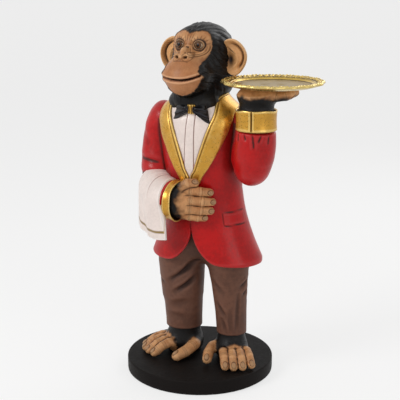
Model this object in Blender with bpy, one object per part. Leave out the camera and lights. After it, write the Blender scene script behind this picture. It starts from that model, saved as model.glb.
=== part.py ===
"""Chimpanzee waiter figurine: a hand-painted cast-resin figure on a round plinth, with a tray.

Units are metres and +Z is up. The figure faces -Y, so +X is the figure's own left.
The origin is the centre of the felt under the plinth, at floor level.
The figure is a set of resin castings bonded edge to edge. Where one casting seats in or
against another, a copy of the other grown by SEAT_GAP is cut out of it. A piece that lies on
another is drawn SINK too deep first, so that the cut leaves its back the shape of its seat.
"""

import math

import bmesh
import bpy
import numpy as np

# Seats and fits
SEAT_GAP = 0.0005
SINK = 0.002
WELD_DISTANCE = 0.00002

# Plinth, felt and the two studs that bolt the figure down
FELT_THICKNESS = 0.002
FELT_MARGIN = 0.005
PLINTH_RADIUS = 0.195
PLINTH_THICKNESS = 0.037
PLINTH_EDGE_ROUND = 0.004
STUD_RADIUS = 0.005
STUD_HEIGHT_ABOVE_PLINTH = 0.190
NUT_ACROSS_FLATS = 0.017
NUT_HEIGHT = 0.008
WASHER_RADIUS = 0.013
WASHER_THICKNESS = 0.002
COUNTERBORE_RADIUS = 0.016
COUNTERBORE_DEPTH = 0.016

# Stance, with the splay of the feet in degrees
STANCE_CENTRE = (0.0195, 0.0095)
ANKLE_SPREAD = 0.137
RIGHT_FOOT_SPLAY = 40
LEFT_FOOT_SPLAY = 34

# Feet, in the foot's own frame: outwards, forwards and up from the middle of the sole
ANKLE_RADIUS = 0.034
HEEL_LENGTH = 0.036
INSTEP_LENGTH = 0.056
ANKLE_ABOVE_HEM = 0.016
TOE_RADIUS = 0.0108
TOE_ROOT_HEIGHT = 0.034
TOE_ROOTS = ((-0.028, 0.030), (-0.009, 0.038), (0.010, 0.038), (0.028, 0.030))
TOE_TIPS = ((-0.034, 0.094), (-0.013, 0.101), (0.010, 0.102), (0.035, 0.094))
GREAT_TOE_RADIUS = 0.0135
GREAT_TOE_PATH = ((-0.022, -0.012, 0.030), (-0.052, 0.002, 0.030), (-0.072, 0.044, 0.0140))

# Trousers
TROUSER_HEM_ABOVE_PLINTH = 0.076
RIGHT_LEG_RADII = (0.046, 0.047, 0.051, 0.057)
LEFT_LEG_RADII = (0.040, 0.042, 0.047, 0.057)
CROTCH_HEIGHT = 0.298
LEG_TOP = 0.335
HIP_CENTRE = (0.012, 0.004)
HIP_SPREAD = 0.120
SEAT_HALF_WIDTH = 0.112
SEAT_HALF_DEPTH = 0.074
COAT_WALL = 0.012
TROUSER_TOP = 0.452

# Jacket stations from the hem to the neck: height, half width and half depth
JACKET_STATIONS = (
    (0.320, 0.144, 0.109),
    (0.345, 0.134, 0.104),
    (0.380, 0.121, 0.097),
    (0.425, 0.109, 0.091),
    (0.470, 0.102, 0.088),
    (0.515, 0.101, 0.089),
    (0.565, 0.106, 0.093),
    (0.610, 0.113, 0.095),
    (0.650, 0.117, 0.091),
    (0.680, 0.115, 0.083),
    (0.700, 0.106, 0.075),
    (0.715, 0.093, 0.068),
    (0.727, 0.078, 0.061),
    (0.736, 0.067, 0.057),
)
JACKET_AXIS_HEM = (0.024, 0.008)
JACKET_AXIS_CHEST = (0.009, 0.003)
AXIS_STRAIGHT_ABOVE = 0.545
HEM_TILT = -0.07
SKIRT_WALL = 0.009
SKIRT_RECESS_TOP = 0.372
CUTAWAY_TOP = 0.440
CUTAWAY_HALF_WIDTH = 0.070
CUTAWAY_CURVE = 2.2

# Shirt opening
OPENING_BOTTOM = 0.530
OPENING_HALF_WIDTH = 0.006
OPENING_SLOPE = 0.29
SHIRT_THICKNESS = 0.012
SHIRT_TOP = 0.712

# Shawl lapels: turns from the front in degrees, with heights, from the lowest point to the back
LAPEL_THICKNESS = 0.0045
LAPEL_SKEW = 2.3
LAPEL_SEAM_TURN = 0.4
LAPEL_INNER = (
    (0.4, 0.503),
    (0.4, 0.527),
    (1.0, 0.546),
    (5.8, 0.564),
    (11.0, 0.600),
    (20.0, 0.650),
    (30.0, 0.690),
    (41.0, 0.717),
    (60.0, 0.732),
    (90.0, 0.736),
    (120.0, 0.736),
    (150.0, 0.736),
    (179.6, 0.736),
)
LAPEL_OUTER = (
    (3.5, 0.498),
    (12.5, 0.524),
    (19.0, 0.547),
    (24.0, 0.566),
    (35.0, 0.606),
    (47.5, 0.648),
    (58.0, 0.677),
    (71.0, 0.694),
    (90.0, 0.704),
    (110.0, 0.708),
    (130.0, 0.710),
    (153.0, 0.711),
    (179.6, 0.711),
)

# Bow tie
KNOT_WIDTH = 0.021
KNOT_HEIGHT = 0.023
KNOT_DEPTH = 0.016
KNOT_CENTRE_HEIGHT = 0.714
BOW_HALF_WIDTH = 0.047
BOW_HEIGHT = 0.052
BOW_DROP = 0.013
BOW_DEPTH = 0.014
BOW_STATIONS = ((0, 0.24, 0.4), (0.25, 0.32, 0.5), (0.6, 0.44, 0.5), (0.92, 0.5, 0.42), (1, 0.47, 0.3))

# Head, in the head's own frame: sideways to the figure's left, forwards and up
HEAD_CENTRE = (0.010, 0.000, 0.845)
HEAD_TURN = 13
HEAD_BLEND = 0.022
CRANIUM = ((0.0, -0.012, 0.006), (0.073, 0.082, 0.071))
BROW = ((0.0, 0.040, 0.030), (0.052, 0.030, 0.026))
MUZZLE = ((0.0, 0.074, -0.034), (0.048, 0.054, 0.036))
JAW = ((0.0, 0.060, -0.066), (0.046, 0.056, 0.036))
CHEEKS = ((0.0, 0.022, -0.036), (0.068, 0.052, 0.046))
THROAT = ((0.0, -0.002, -0.082), (0.060, 0.062, 0.070))
NECK_RADIUS = 0.055
NECK_OFFSET = (-0.002, 0.002)
NECK_FOOT = 0.698
EYE_RADIUS = 0.0125
EYE_CENTRE = (0.0275, 0.0600, 0.0275)

# Ears, in the head's own frame
EAR_CENTRE = (0.102, -0.005, -0.0078)
EAR_HALF_WIDTH = 0.036
EAR_HALF_HEIGHT = 0.0425
EAR_THICKNESS = 0.010
EAR_DISH = 0.010
EAR_SWEEP = 5

# Arms: points of the sleeve's middle line, each with the radius there
RIGHT_SLEEVE = (
    ((-0.086, 0.004, 0.660), 0.045),
    ((-0.100, -0.002, 0.626), 0.046),
    ((-0.107, -0.016, 0.566), 0.045),
    ((-0.102, -0.032, 0.516), 0.046),
    ((-0.091, -0.057, 0.500), 0.047),
    ((-0.072, -0.080, 0.491), 0.048),
    ((-0.048, -0.0955, 0.486), 0.048),
    ((-0.027, -0.1015, 0.484), 0.048),
)
LEFT_SLEEVE = (
    ((0.094, 0.006, 0.660), 0.045),
    ((0.120, -0.002, 0.628), 0.046),
    ((0.146, -0.024, 0.588), 0.044),
    ((0.164, -0.048, 0.572), 0.044),
    ((0.171, -0.057, 0.600), 0.050),
    ((0.174, -0.060, 0.632), 0.051),
    ((0.175, -0.061, 0.662), 0.049),
)
RIGHT_CUFF_AXIS = (0.966, -0.259, -0.05)
LEFT_CUFF_AXIS = (0.0, 0.0, 1.0)
RIGHT_CUFF_LENGTH = 0.022
LEFT_CUFF_LENGTH = 0.046
CUFF_RADIUS = 0.0525
CUFF_WALL = 0.005
CUFF_FLOOR = 0.007
CUFF_SLIT_WIDTH = 0.003
CUFF_SLIT_DEPTH = 0.003
CUFF_SLIT_TURN = 14

# Right hand on the belly: the palm's middle line with its half height and half depth there
WRIST_CLEARANCE = 0.001
FINGER_RADIUS = 0.0115
LITTLE_FINGER_RADIUS = 0.0100
THUMB_RADIUS = 0.0115
RIGHT_PALM = (
    ((0.008, -0.109, 0.484), (0.0450, 0.0240)),
    ((0.026, -0.103, 0.484), (0.0430, 0.0140)),
)
RIGHT_FINGERS = (
    ((0.006, -0.110, 0.514), (0.044, -0.101, 0.514), (0.075, -0.077, 0.508)),
    ((0.006, -0.112, 0.491), (0.046, -0.102, 0.490), (0.082, -0.073, 0.483)),
    ((0.006, -0.111, 0.468), (0.044, -0.101, 0.466), (0.076, -0.076, 0.460)),
)
RIGHT_LITTLE_FINGER = ((0.006, -0.106, 0.449), (0.036, -0.099, 0.445), (0.061, -0.084, 0.441))
RIGHT_THUMB = ((0.003, -0.114, 0.517), (0.018, -0.112, 0.535), (0.042, -0.103, 0.539))

# Left hand, palm up under the tray: along the fingers and across them from the wrist's middle
LEFT_HAND_TURN = 25
LEFT_PALM_HALF = (0.050, 0.045, 0.018)
LEFT_PALM_SHIFT = 0.005
LEFT_DIGIT_SAG = (0.008, 0.006, 0.0002)
LEFT_FINGERS = (
    ((0.024, -0.030), (0.090, -0.044)),
    ((0.030, -0.010), (0.104, -0.015)),
    ((0.030, 0.010), (0.106, 0.014)),
    ((0.024, 0.030), (0.094, 0.042)),
)
LEFT_THUMB = ((-0.014, -0.026), (-0.042, -0.044))

# Tray and the steel rod that carries it
TRAY_CENTRE = (0.216, -0.060)
TRAY_UNDERSIDE = 0.7795
TRAY_RADIUS = 0.130
TRAY_WELL_RADIUS = 0.103
TRAY_FLOOR_THICKNESS = 0.004
TRAY_HEIGHT = 0.013
TRAY_RIM_WALL = 0.004
TRAY_SCALLOPS = 16
TRAY_SCALLOP_DEPTH = 0.0022
TRAY_BOSS_RADIUS = 0.016
TRAY_BOSS_DEPTH = 0.006
ROD_RADIUS = 0.004
ROD_LENGTH = 0.150

# Towel over the right forearm, as shares of the way along the sleeve
TOWEL_THICKNESS = 0.006
TOWEL_DROP = 0.110
TOWEL_FLARE = 0.006
TOWEL_START = 0.58
TOWEL_END = 0.97
TOWEL_OVER_TOP = 140

# Facets
JACKET_SIDES = 36
TUBE_SIDES = 18
DIGIT_SIDES = 8
DIGIT_STEPS = 5
HEAD_SIDES = 34
HEAD_LEVELS = 23
SLEEVE_STEPS = 14
LAPEL_STEPS = 21

SIDES = (("right", -1), ("left", 1))
FINISHES = {
    "black_brown_paint": ((0.028, 0.022, 0.018), 0.55, 0.0),
    "dark_fur_paint": ((0.022, 0.018, 0.016), 0.45, 0.0),
    "tan_skin_paint": ((0.42, 0.22, 0.10), 0.5, 0.0),
    "ear_paint": ((0.62, 0.36, 0.17), 0.5, 0.0),
    "red_paint": ((0.50, 0.018, 0.018), 0.35, 0.0),
    "gold_paint": ((0.55, 0.36, 0.09), 0.3, 0.8),
    "white_paint": ((0.80, 0.72, 0.66), 0.45, 0.0),
    "brown_paint": ((0.13, 0.065, 0.045), 0.5, 0.0),
    "black_satin_paint": ((0.02, 0.018, 0.02), 0.35, 0.0),
    "eye_glass": ((0.05, 0.02, 0.01), 0.08, 0.0),
    "zinc_steel": ((0.45, 0.45, 0.46), 0.35, 1.0),
    "felt": ((0.03, 0.03, 0.03), 0.95, 0.0),
}


def clear_scene():
    for obj in list(bpy.data.objects):
        bpy.data.objects.remove(obj)


def finish_material(name):
    """The material of that name, with its colour, roughness and metallic value."""
    if name in bpy.data.materials:
        return bpy.data.materials[name]
    colour, roughness, metallic = FINISHES[name]
    material = bpy.data.materials.new(name)
    material.use_nodes = True
    shader = material.node_tree.nodes["Principled BSDF"]
    shader.inputs["Base Color"].default_value = (*colour, 1)
    shader.inputs["Roughness"].default_value = roughness
    shader.inputs["Metallic"].default_value = metallic
    return material


def add_object(name, bm, finish, place=(0.0, 0.0, 0.0)):
    """Turns a bmesh into a named object, smooth where it is round, with its faces pointing out."""
    bmesh.ops.recalc_face_normals(bm, faces=bm.faces)
    mesh = bpy.data.meshes.new(name)
    bm.to_mesh(mesh)
    bm.free()
    mesh.shade_smooth()
    mesh.set_sharp_from_angle(angle=math.radians(40))
    mesh.materials.append(finish_material(finish))
    obj = bpy.data.objects.new(name, mesh)
    obj.location = place
    bpy.context.scene.collection.objects.link(obj)
    return obj


def as_cutter(obj):
    obj.hide_render = True
    obj.display_type = "WIRE"
    return obj


def boolean(obj, other, operation):
    modifier = obj.modifiers.new(operation.lower() + "_" + other.name, "BOOLEAN")
    modifier.operation = operation
    modifier.solver = "EXACT"
    modifier.object = other


def grown_copy(obj):
    """A hidden copy of a casting's first solid, before anything is cut from it or joined to it,
    swollen along its normals. It cuts the casting's seat."""
    name = obj.name + "_seat"
    if name in bpy.data.objects:
        return bpy.data.objects[name]
    copy = obj.copy()
    copy.name = name
    copy.modifiers.clear()
    bpy.context.scene.collection.objects.link(copy)
    swell = copy.modifiers.new("swell", "DISPLACE")
    swell.mid_level = 0.0
    swell.strength = SEAT_GAP
    return as_cutter(copy)


def seat(obj, *others):
    """Cuts the seats of other castings out of one casting."""
    for other in others:
        boolean(obj, grown_copy(other), "DIFFERENCE")


def loft(name, rings, finish, place=(0.0, 0.0, 0.0)):
    """A closed solid through rings of as many points each, capped at both ends."""
    bm = bmesh.new()
    loops = [[bm.verts.new(point) for point in ring] for ring in rings]
    for lower, upper in zip(loops, loops[1:]):
        for i in range(len(lower)):
            bm.faces.new((lower[i - 1], lower[i], upper[i], upper[i - 1]))
    bm.faces.new(loops[0])
    bm.faces.new(loops[-1])
    return add_object(name, bm, finish, place)


def turned(name, profile, sides, finish, place=(0.0, 0.0, 0.0)):
    """A solid of revolution about a vertical axis, through a profile of (radius, height)."""
    rings = []
    for radius, height in profile:
        rings.append([(radius * math.cos(t), radius * math.sin(t), height) for t in full_turn(sides)])
    return loft(name, rings, finish, place)


def disc(name, radius, low, high, sides, finish, place=(0.0, 0.0, 0.0), chamfer=0.0):
    """A round bar from one height to another, with a chamfer at both ends if given."""
    profile = [(radius, low + chamfer), (radius, high - chamfer)]
    if chamfer:
        profile = [(radius - chamfer, low), *profile, (radius - chamfer, high)]
    return turned(name, profile, sides, finish, place)


def unit(vector):
    vector = np.array(vector, float)
    return vector / np.linalg.norm(vector)


def full_turn(count):
    return np.linspace(0, 2 * math.pi, count, endpoint=False)


def smooth_path(points, count):
    """Points read at even steps of a Catmull-Rom curve through the given ones."""
    keys = np.array(points, float)
    keys = np.vstack([2 * keys[0] - keys[1], keys, 2 * keys[-1] - keys[-2]])
    at = np.linspace(0, len(points) - 1, count)
    i = np.minimum(at.astype(int), len(points) - 2)
    t = (at - i)[:, None]
    p0, p1, p2, p3 = (keys[i + k] for k in range(4))
    cubic = 3 * p1 - p0 - 3 * p2 + p3
    square = 2 * p0 - 5 * p1 + 4 * p2 - p3
    return 0.5 * (2 * p1 + (p2 - p0) * t + square * t**2 + cubic * t**3)


def path_frames(points, up):
    """The tangent, a sideways and an upwards direction at each point, without any spin."""
    tangents = np.gradient(points, axis=0)
    side = np.cross(tangents[0], up)
    frames = []
    for tangent in tangents:
        tangent = unit(tangent)
        side = unit(side - tangent * (side @ tangent))
        frames.append((tangent, side, np.cross(side, tangent)))
    return frames


def tube_rings(
    points, radii, sides, up=(0, 0, 1), round_start=False, round_end=True, facing=None, last_facing=None
):
    """Rings round a path. A radius is a number or a pair, upwards and sideways. Round ends close
    in as a quarter circle does. The rings stand square to the path, or all of them, or the last
    one, to a given direction."""
    points = np.array(points, float)
    radii = np.array([np.broadcast_to(radius, 2) for radius in radii], float)
    frames = path_frames(points, up)
    if facing is not None:
        side = unit(np.cross(facing, up))
        frames = [(facing, side, np.cross(side, facing))] * len(points)
    if last_facing is not None:
        side = unit(frames[-1][1] - last_facing * (frames[-1][1] @ last_facing))
        frames[-1] = (last_facing, side, np.cross(side, last_facing))
    turns = full_turn(sides)

    def ring(centre, frame, radius):
        upwards = np.outer(np.cos(turns) * radius[0], frame[2])
        return centre + upwards + np.outer(np.sin(turns) * radius[1], frame[1])

    rings = [ring(*item) for item in zip(points, frames, radii)]
    for wanted, index, sign in ((round_start, 0, -1), (round_end, -1, 1)):
        if not wanted:
            continue
        step = frames[index][0] * sign * radii[index].min()
        ends = [
            ring(points[index] + step * reach, frames[index], radii[index] * math.sqrt(1 - reach**2))
            for reach in (0.5, 0.9)
        ]
        rings = rings + ends if sign > 0 else ends[::-1] + rings
    return rings


def digit(name, keys, radius, finish="tan_skin_paint"):
    """A finger or toe, round at both ends, that is joined to its palm or foot."""
    path = smooth_path(keys, DIGIT_STEPS)
    rings = tube_rings(path, [radius] * DIGIT_STEPS, DIGIT_SIDES, up=(0.01, 0.02, 1.0), round_start=True)
    return as_cutter(loft(name, rings, finish))


def ellipsoid_distance(points, centre, half):
    """About how far points lie outside an ellipsoid, negative inside it."""
    q = (points - np.array(centre)) / np.array(half)
    near = np.linalg.norm(q, axis=-1)
    slope = np.linalg.norm(q / np.array(half), axis=-1)
    return near * (near - 1) / np.maximum(slope, 1e-9)


def blend(a, b, width):
    """The smaller of two distances, rounded where they are within a width of each other."""
    h = np.maximum(width - np.abs(a - b), 0) / width
    return np.minimum(a, b) - h * h * width / 4


def ray_reach(centre, directions, distance, reach=0.25, steps=90):
    """How far rays from a centre go before they leave a shape, found from outside inwards."""
    t = np.full(directions.shape[:-1], reach)
    for _ in range(steps):
        t = t - 0.6 * distance(centre + directions * t[..., None])
    return t


def jacket_section(height, inset=0.0):
    """The jacket's middle, half width and half depth at a height, less a wall if given."""
    heights, widths, depths = (np.array(column) for column in zip(*JACKET_STATIONS))
    share = np.clip((height - heights[0]) / (AXIS_STRAIGHT_ABOVE - heights[0]), 0, 1)
    middle = np.array(JACKET_AXIS_HEM) * (1 - share) + np.array(JACKET_AXIS_CHEST) * share
    width = np.interp(height, heights, widths) - inset
    return middle, width, np.interp(height, heights, depths) - inset


def jacket_point(turn, height, out=0.0):
    """A point of the jacket's surface at a turn from the front towards the figure's left, moved
    out from the surface."""
    middle, width, depth = jacket_section(height)
    normal = unit((math.sin(turn) / width, -math.cos(turn) / depth))
    flat = middle + np.array((width * math.sin(turn), -depth * math.cos(turn))) + normal * out
    return np.array((*flat, height))


def jacket_ring(height, inset=0.0, sides=JACKET_SIDES, tilt=0.0):
    middle, width, depth = jacket_section(height, inset)
    ring = [(middle[0] + width * math.sin(t), middle[1] - depth * math.cos(t)) for t in full_turn(sides)]
    return [(x, y, height + tilt * (x - middle[0])) for x, y in ring]


def jacket_top():
    return JACKET_STATIONS[-1][0]


def plinth_top():
    return FELT_THICKNESS + PLINTH_THICKNESS


def trouser_hem():
    return plinth_top() + TROUSER_HEM_ABOVE_PLINTH


def ankle(side):
    """The middle of an ankle in plan. Side is 1 for the figure's left and -1 for its right."""
    return np.array((STANCE_CENTRE[0] + side * ANKLE_SPREAD / 2, STANCE_CENTRE[1]))


def hip(side):
    return np.array((HIP_CENTRE[0] + side * HIP_SPREAD / 2, HIP_CENTRE[1]))


def build_felt():
    disc("base_felt", PLINTH_RADIUS - FELT_MARGIN, 0, FELT_THICKNESS - SEAT_GAP, 48, "felt")


def build_plinth():
    low = FELT_THICKNESS
    high = plinth_top()
    edge = PLINTH_EDGE_ROUND
    profile = [(PLINTH_RADIUS - edge / 2, low), (PLINTH_RADIUS, low + edge / 2)]
    for turn in np.linspace(0, math.pi / 2, 3):
        across = PLINTH_RADIUS - edge * (1 - math.cos(turn))
        profile.append((across, high - edge * (1 - math.sin(turn))))
    plinth = turned("plinth", profile, 60, "black_brown_paint")
    for name, side in SIDES:
        place = (*ankle(side), low)
        bore = disc(name + "_bore", COUNTERBORE_RADIUS, -0.01, COUNTERBORE_DEPTH, 24, "zinc_steel", place)
        boolean(plinth, as_cutter(bore), "DIFFERENCE")
    return plinth


def build_stud(name, side):
    """A stud up through the plinth and the foot into the leg, with its washer and nut below."""
    place = (*ankle(side), FELT_THICKNESS + COUNTERBORE_DEPTH)
    washer_high = -SEAT_GAP
    washer_low = washer_high - WASHER_THICKNESS
    nut_high = washer_low - SEAT_GAP
    nut_low = nut_high - NUT_HEIGHT
    stud_low = nut_low - STUD_RADIUS / 4
    stud_high = PLINTH_THICKNESS - COUNTERBORE_DEPTH + STUD_HEIGHT_ABOVE_PLINTH
    steel = "zinc_steel"
    stud = disc(name + "_stud", STUD_RADIUS, stud_low, stud_high, 12, steel, place, STUD_RADIUS / 4)
    washer = disc(name + "_washer", WASHER_RADIUS, washer_low, washer_high, 20, steel, place)
    nut = disc(name + "_nut", NUT_ACROSS_FLATS / math.sqrt(3), nut_low, nut_high, 6, steel, place)
    for ring in (washer, nut):
        seat(ring, stud)
    return stud


def foot_place(side):
    """Places a point of the foot's own frame in the figure's frame."""
    splay = math.radians(LEFT_FOOT_SPLAY if side > 0 else RIGHT_FOOT_SPLAY)
    outwards = np.array((side * math.cos(splay), math.sin(splay), 0.0))
    forwards = np.array((side * math.sin(splay), -math.cos(splay), 0.0))
    axes = np.array((outwards, forwards, (0.0, 0.0, 1.0)))
    base = np.array((*ankle(side), plinth_top() + SEAT_GAP))
    return lambda point: base + np.array(point) @ axes


def foot_levels(place):
    """The heel and instep as egg-shaped levels that draw in to the round ankle."""
    top = TROUSER_HEM_ABOVE_PLINTH + ANKLE_ABOVE_HEM
    levels = (
        (0.0, 0.92, 0.84, 1.05),
        (0.006, 1.05, 0.95, 1.18),
        (0.018, 1.12, 1.00, 1.26),
        (0.032, 1.10, 0.97, 1.24),
        (0.046, 1.04, 0.86, 1.16),
        (0.060, ANKLE_RADIUS / HEEL_LENGTH, 1.06 * ANKLE_RADIUS / INSTEP_LENGTH, 1.06),
        (top, ANKLE_RADIUS / HEEL_LENGTH, ANKLE_RADIUS / INSTEP_LENGTH, 1.0),
    )
    rings = []
    for height, back, front, half in levels:
        ring = []
        for turn in full_turn(20):
            reach = INSTEP_LENGTH * front if math.cos(turn) > 0 else HEEL_LENGTH * back
            ring.append(place((ANKLE_RADIUS * half * math.sin(turn), reach * math.cos(turn), height)))
        rings.append(ring)
    return rings


def build_foot(name, side):
    """A heel and instep, four long toes that arch down to the ground, and the great toe, which
    stands away from them like a thumb."""
    place = foot_place(side)
    foot = loft(name + "_foot", foot_levels(place), "dark_fur_paint")
    for number, (root, tip) in enumerate(zip(TOE_ROOTS, TOE_TIPS)):
        bend = np.array(root) * 0.45 + np.array(tip) * 0.55
        keys = [place((*root, TOE_ROOT_HEIGHT * 0.9)), place((*bend, TOE_ROOT_HEIGHT * 0.88))]
        keys.append(place((*tip, TOE_RADIUS)))
        boolean(foot, digit(f"{name}_toe_{number}", keys, TOE_RADIUS), "UNION")
    keys = [place(point) for point in GREAT_TOE_PATH]
    boolean(foot, digit(name + "_great_toe", keys, GREAT_TOE_RADIUS), "UNION")
    return foot


def build_trousers():
    """Two legs and the seat that joins them inside the jacket, as one casting."""
    rings = []
    for height, share in ((CROTCH_HEIGHT, 0.45), (0.304, 0.74), (0.318, 0.94), (0.345, 1.0)):
        rings.append((height, share))
    rings += [(height, 1.0) for height in (0.38, 0.415, TROUSER_TOP)]
    outline = []
    for height, share in rings:
        _, coat_width, coat_depth = jacket_section(height, COAT_WALL)
        width = min(SEAT_HALF_WIDTH, coat_width) * share
        depth = min(SEAT_HALF_DEPTH, coat_depth) * share
        x, y = HIP_CENTRE
        outline.append([(x + width * math.sin(t), y - depth * math.cos(t), height) for t in full_turn(28)])
    trousers = loft("trousers", outline, "brown_paint")
    for name, side in SIDES:
        radii = LEFT_LEG_RADII if side > 0 else RIGHT_LEG_RADII
        low = np.array((*ankle(side), trouser_hem()))
        high = np.array((*hip(side), LEG_TOP))
        steps = np.linspace(0, 1, 7)
        path = low + (high - low) * steps[:, None]
        widths = np.interp(steps, np.linspace(0, 1, len(radii)), radii)
        leg_rings = tube_rings(path, widths, TUBE_SIDES, up=(0, 1, 0), round_end=False)
        boolean(trousers, as_cutter(loft(name + "_leg", leg_rings, "brown_paint")), "UNION")
    return trousers


def build_jacket():
    """The coat: a flared skirt that is cut away in front and hollow at the hem, a waist, a chest
    with the opening for the shirt, and sloping shoulders."""
    heights = [station[0] for station in JACKET_STATIONS]
    rings = [jacket_ring(h, tilt=HEM_TILT if h == heights[0] else 0.0) for h in heights]
    jacket = loft("jacket", rings, "red_paint")
    boolean(jacket, skirt_recess(), "DIFFERENCE")
    boolean(jacket, front_cutaway(), "DIFFERENCE")
    boolean(jacket, opening_wedge("shirt_pocket", 0.0), "DIFFERENCE")
    return jacket


def skirt_recess():
    """The hollow under the skirt, from below the hem up to where the coat closes on the seat."""
    hem = JACKET_STATIONS[0][0]
    rings = [jacket_ring(hem, SKIRT_WALL, 28, HEM_TILT)]
    rings[0] = [(x, y, z - 0.015) for x, y, z in rings[0]]
    for height, inset in ((hem, SKIRT_WALL), (0.350, SKIRT_WALL), (SKIRT_RECESS_TOP, SKIRT_WALL * 2)):
        rings.append(jacket_ring(height, inset, 28))
    return as_cutter(loft("skirt_recess", rings, "red_paint"))


def front_cutaway():
    """A prism through the front of the skirt. Its half width grows with a power of the way down."""
    hem = JACKET_STATIONS[0][0] - 0.015
    middle = jacket_section(CUTAWAY_TOP)[0]
    outline = []
    for share in np.linspace(0.12, 1.0, 8):
        height = CUTAWAY_TOP + (hem - CUTAWAY_TOP) * share
        outline.append((CUTAWAY_HALF_WIDTH * share**CUTAWAY_CURVE, height))
    outline = [(-across, height) for across, height in outline[::-1]] + [(0.0, CUTAWAY_TOP)] + outline
    rings = [[(middle[0] + across, y, height) for across, height in outline] for y in (-0.2, -0.03)]
    return as_cutter(loft("front_cutaway", rings, "red_paint"))


def opening_wedge(name, margin):
    """The V of the opening as a wedge that reaches in from the coat's surface by the thickness of
    the shirt. A margin makes it smaller all round."""
    low = OPENING_BOTTOM + margin * 2
    high = SHIRT_TOP - margin
    levels = [station[0] for station in JACKET_STATIONS if low < station[0] < high]
    rings = []
    for height in (low, *levels, high):
        middle, width, half_depth = jacket_section(height)
        half = OPENING_HALF_WIDTH + OPENING_SLOPE * (height - OPENING_BOTTOM) - margin
        across = math.sin(math.radians(LAPEL_SKEW)) * width + np.linspace(-1, 1, 7) * half
        front = middle[1] - half_depth * np.sqrt(1 - (across / width) ** 2)
        inner = [(middle[0] + a, f + SHIRT_THICKNESS - margin * 2, height) for a, f in zip(across, front)]
        outer = [(middle[0] + a, f - 0.03, height) for a, f in zip(across[::-1], front[::-1])]
        rings.append(inner + outer)
    return as_cutter(loft(name, rings, "white_paint"))


def build_shirt_front():
    """The shirt shows as an insert in the coat's V, flush with the coat under the lapels."""
    heights = [station[0] for station in JACKET_STATIONS]
    shirt = loft("shirt_front", [jacket_ring(h) for h in heights], "white_paint")
    boolean(shirt, opening_wedge("shirt_outline", SEAT_GAP), "INTERSECT")
    return shirt


def build_lapel(name, side):
    """Half of the shawl collar: a band of even thickness that lies on the coat's surface, from
    under the hand up over the shoulder to the seam at the back of the neck."""
    inner = smooth_path(LAPEL_INNER, LAPEL_STEPS)
    outer = smooth_path(LAPEL_OUTER, LAPEL_STEPS)
    inner[:, 0] = np.maximum(inner[:, 0], LAPEL_SEAM_TURN)
    rings = []
    for a, b in zip(inner, outer):
        strip = [a + (b - a) * share for share in (0.0, 0.33, 0.67, 1.0)]
        turns = [math.radians(side * min(turn, 180 - LAPEL_SEAM_TURN) + LAPEL_SKEW) for turn, _ in strip]
        under = [jacket_point(t, height, -SINK) for t, (_, height) in zip(turns, strip)]
        over = [jacket_point(t, height, LAPEL_THICKNESS) for t, (_, height) in zip(turns, strip)]
        rings.append(under + over[::-1])
    return loft(name + "_lapel", rings, "gold_paint")


def bow_middle():
    """The middle of the knot, on the opening's surface."""
    middle, width, depth = jacket_section(KNOT_CENTRE_HEIGHT)
    x = middle[0] + math.sin(math.radians(LAPEL_SKEW)) * width
    return np.array((x, middle[1] - depth + SINK - BOW_DEPTH / 2, KNOT_CENTRE_HEIGHT))


def build_bow_wing(name, side):
    """A gathered wing that flares and drops from the knot to its tip."""
    x, y, z = bow_middle()
    start = KNOT_WIDTH / 2 - 0.003
    rings = []
    for share, tall, deep in BOW_STATIONS:
        across = x + side * (start + (BOW_HALF_WIDTH - start) * share)
        back = y + 0.014 * share**2
        low = z - BOW_DROP * share
        rings.append([
            (across, back - BOW_DEPTH * deep * math.cos(t), low + BOW_HEIGHT * tall * math.sin(t))
            for t in full_turn(12)
        ])
    return loft(f"bow_tie_{name}_wing", rings, "black_satin_paint")


def build_bow_knot():
    """The pinched band over the middle of the bow."""
    x, y, z = bow_middle()
    rings = []
    for share, grow in ((-0.5, 0.86), (-0.38, 1.0), (0.0, 0.92), (0.38, 1.0), (0.5, 0.86)):
        wide = KNOT_WIDTH / 2 * grow
        deep = KNOT_DEPTH / 2 * grow
        height = z + KNOT_HEIGHT * share
        rings.append([(x + wide * math.sin(t), y - deep * math.cos(t), height) for t in full_turn(12)])
    return loft("bow_tie_knot", rings, "gold_paint")


def in_head(point):
    """A point of the head's own frame, in the figure's frame."""
    turn = math.radians(HEAD_TURN)
    sideways = (math.cos(turn), -math.sin(turn), 0.0)
    forwards = (-math.sin(turn), -math.cos(turn), 0.0)
    return np.array(HEAD_CENTRE) + np.array(point) @ np.array((sideways, forwards, (0.0, 0.0, 1.0)))


def head_distance(points):
    """The head: blended ellipsoids over a round neck that ends flat inside the jacket."""
    shape = ellipsoid_distance(points, *CRANIUM)
    for lump in (BROW, MUZZLE, JAW, CHEEKS, THROAT):
        shape = blend(shape, ellipsoid_distance(points, *lump), HEAD_BLEND)
    column = np.linalg.norm(points[..., :2] - np.array(NECK_OFFSET), axis=-1) - NECK_RADIUS
    column = np.maximum(column, points[..., 2] + 0.06)
    shape = blend(shape, column, HEAD_BLEND)
    return np.maximum(shape, NECK_FOOT - HEAD_CENTRE[2] - points[..., 2])


def build_head():
    """The head is what rays from its middle reach, on a grid that is finer at the face."""
    middle = np.array((0.0, 0.012, -0.030))
    turns = full_turn(HEAD_SIDES) - math.pi
    turns = turns - 0.35 * np.sin(turns)
    rings = []
    for tilt in np.linspace(0.12, math.pi - 0.12, HEAD_LEVELS):
        flat = math.sin(tilt)
        rise = np.full(HEAD_SIDES, math.cos(tilt))
        directions = np.stack([np.sin(turns) * flat, np.cos(turns) * flat, rise], axis=-1)
        reach = ray_reach(middle, directions, head_distance)
        rings.append([in_head(point) for point in middle + directions * reach[:, None]])
    return loft("head", rings, "dark_fur_paint")


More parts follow.
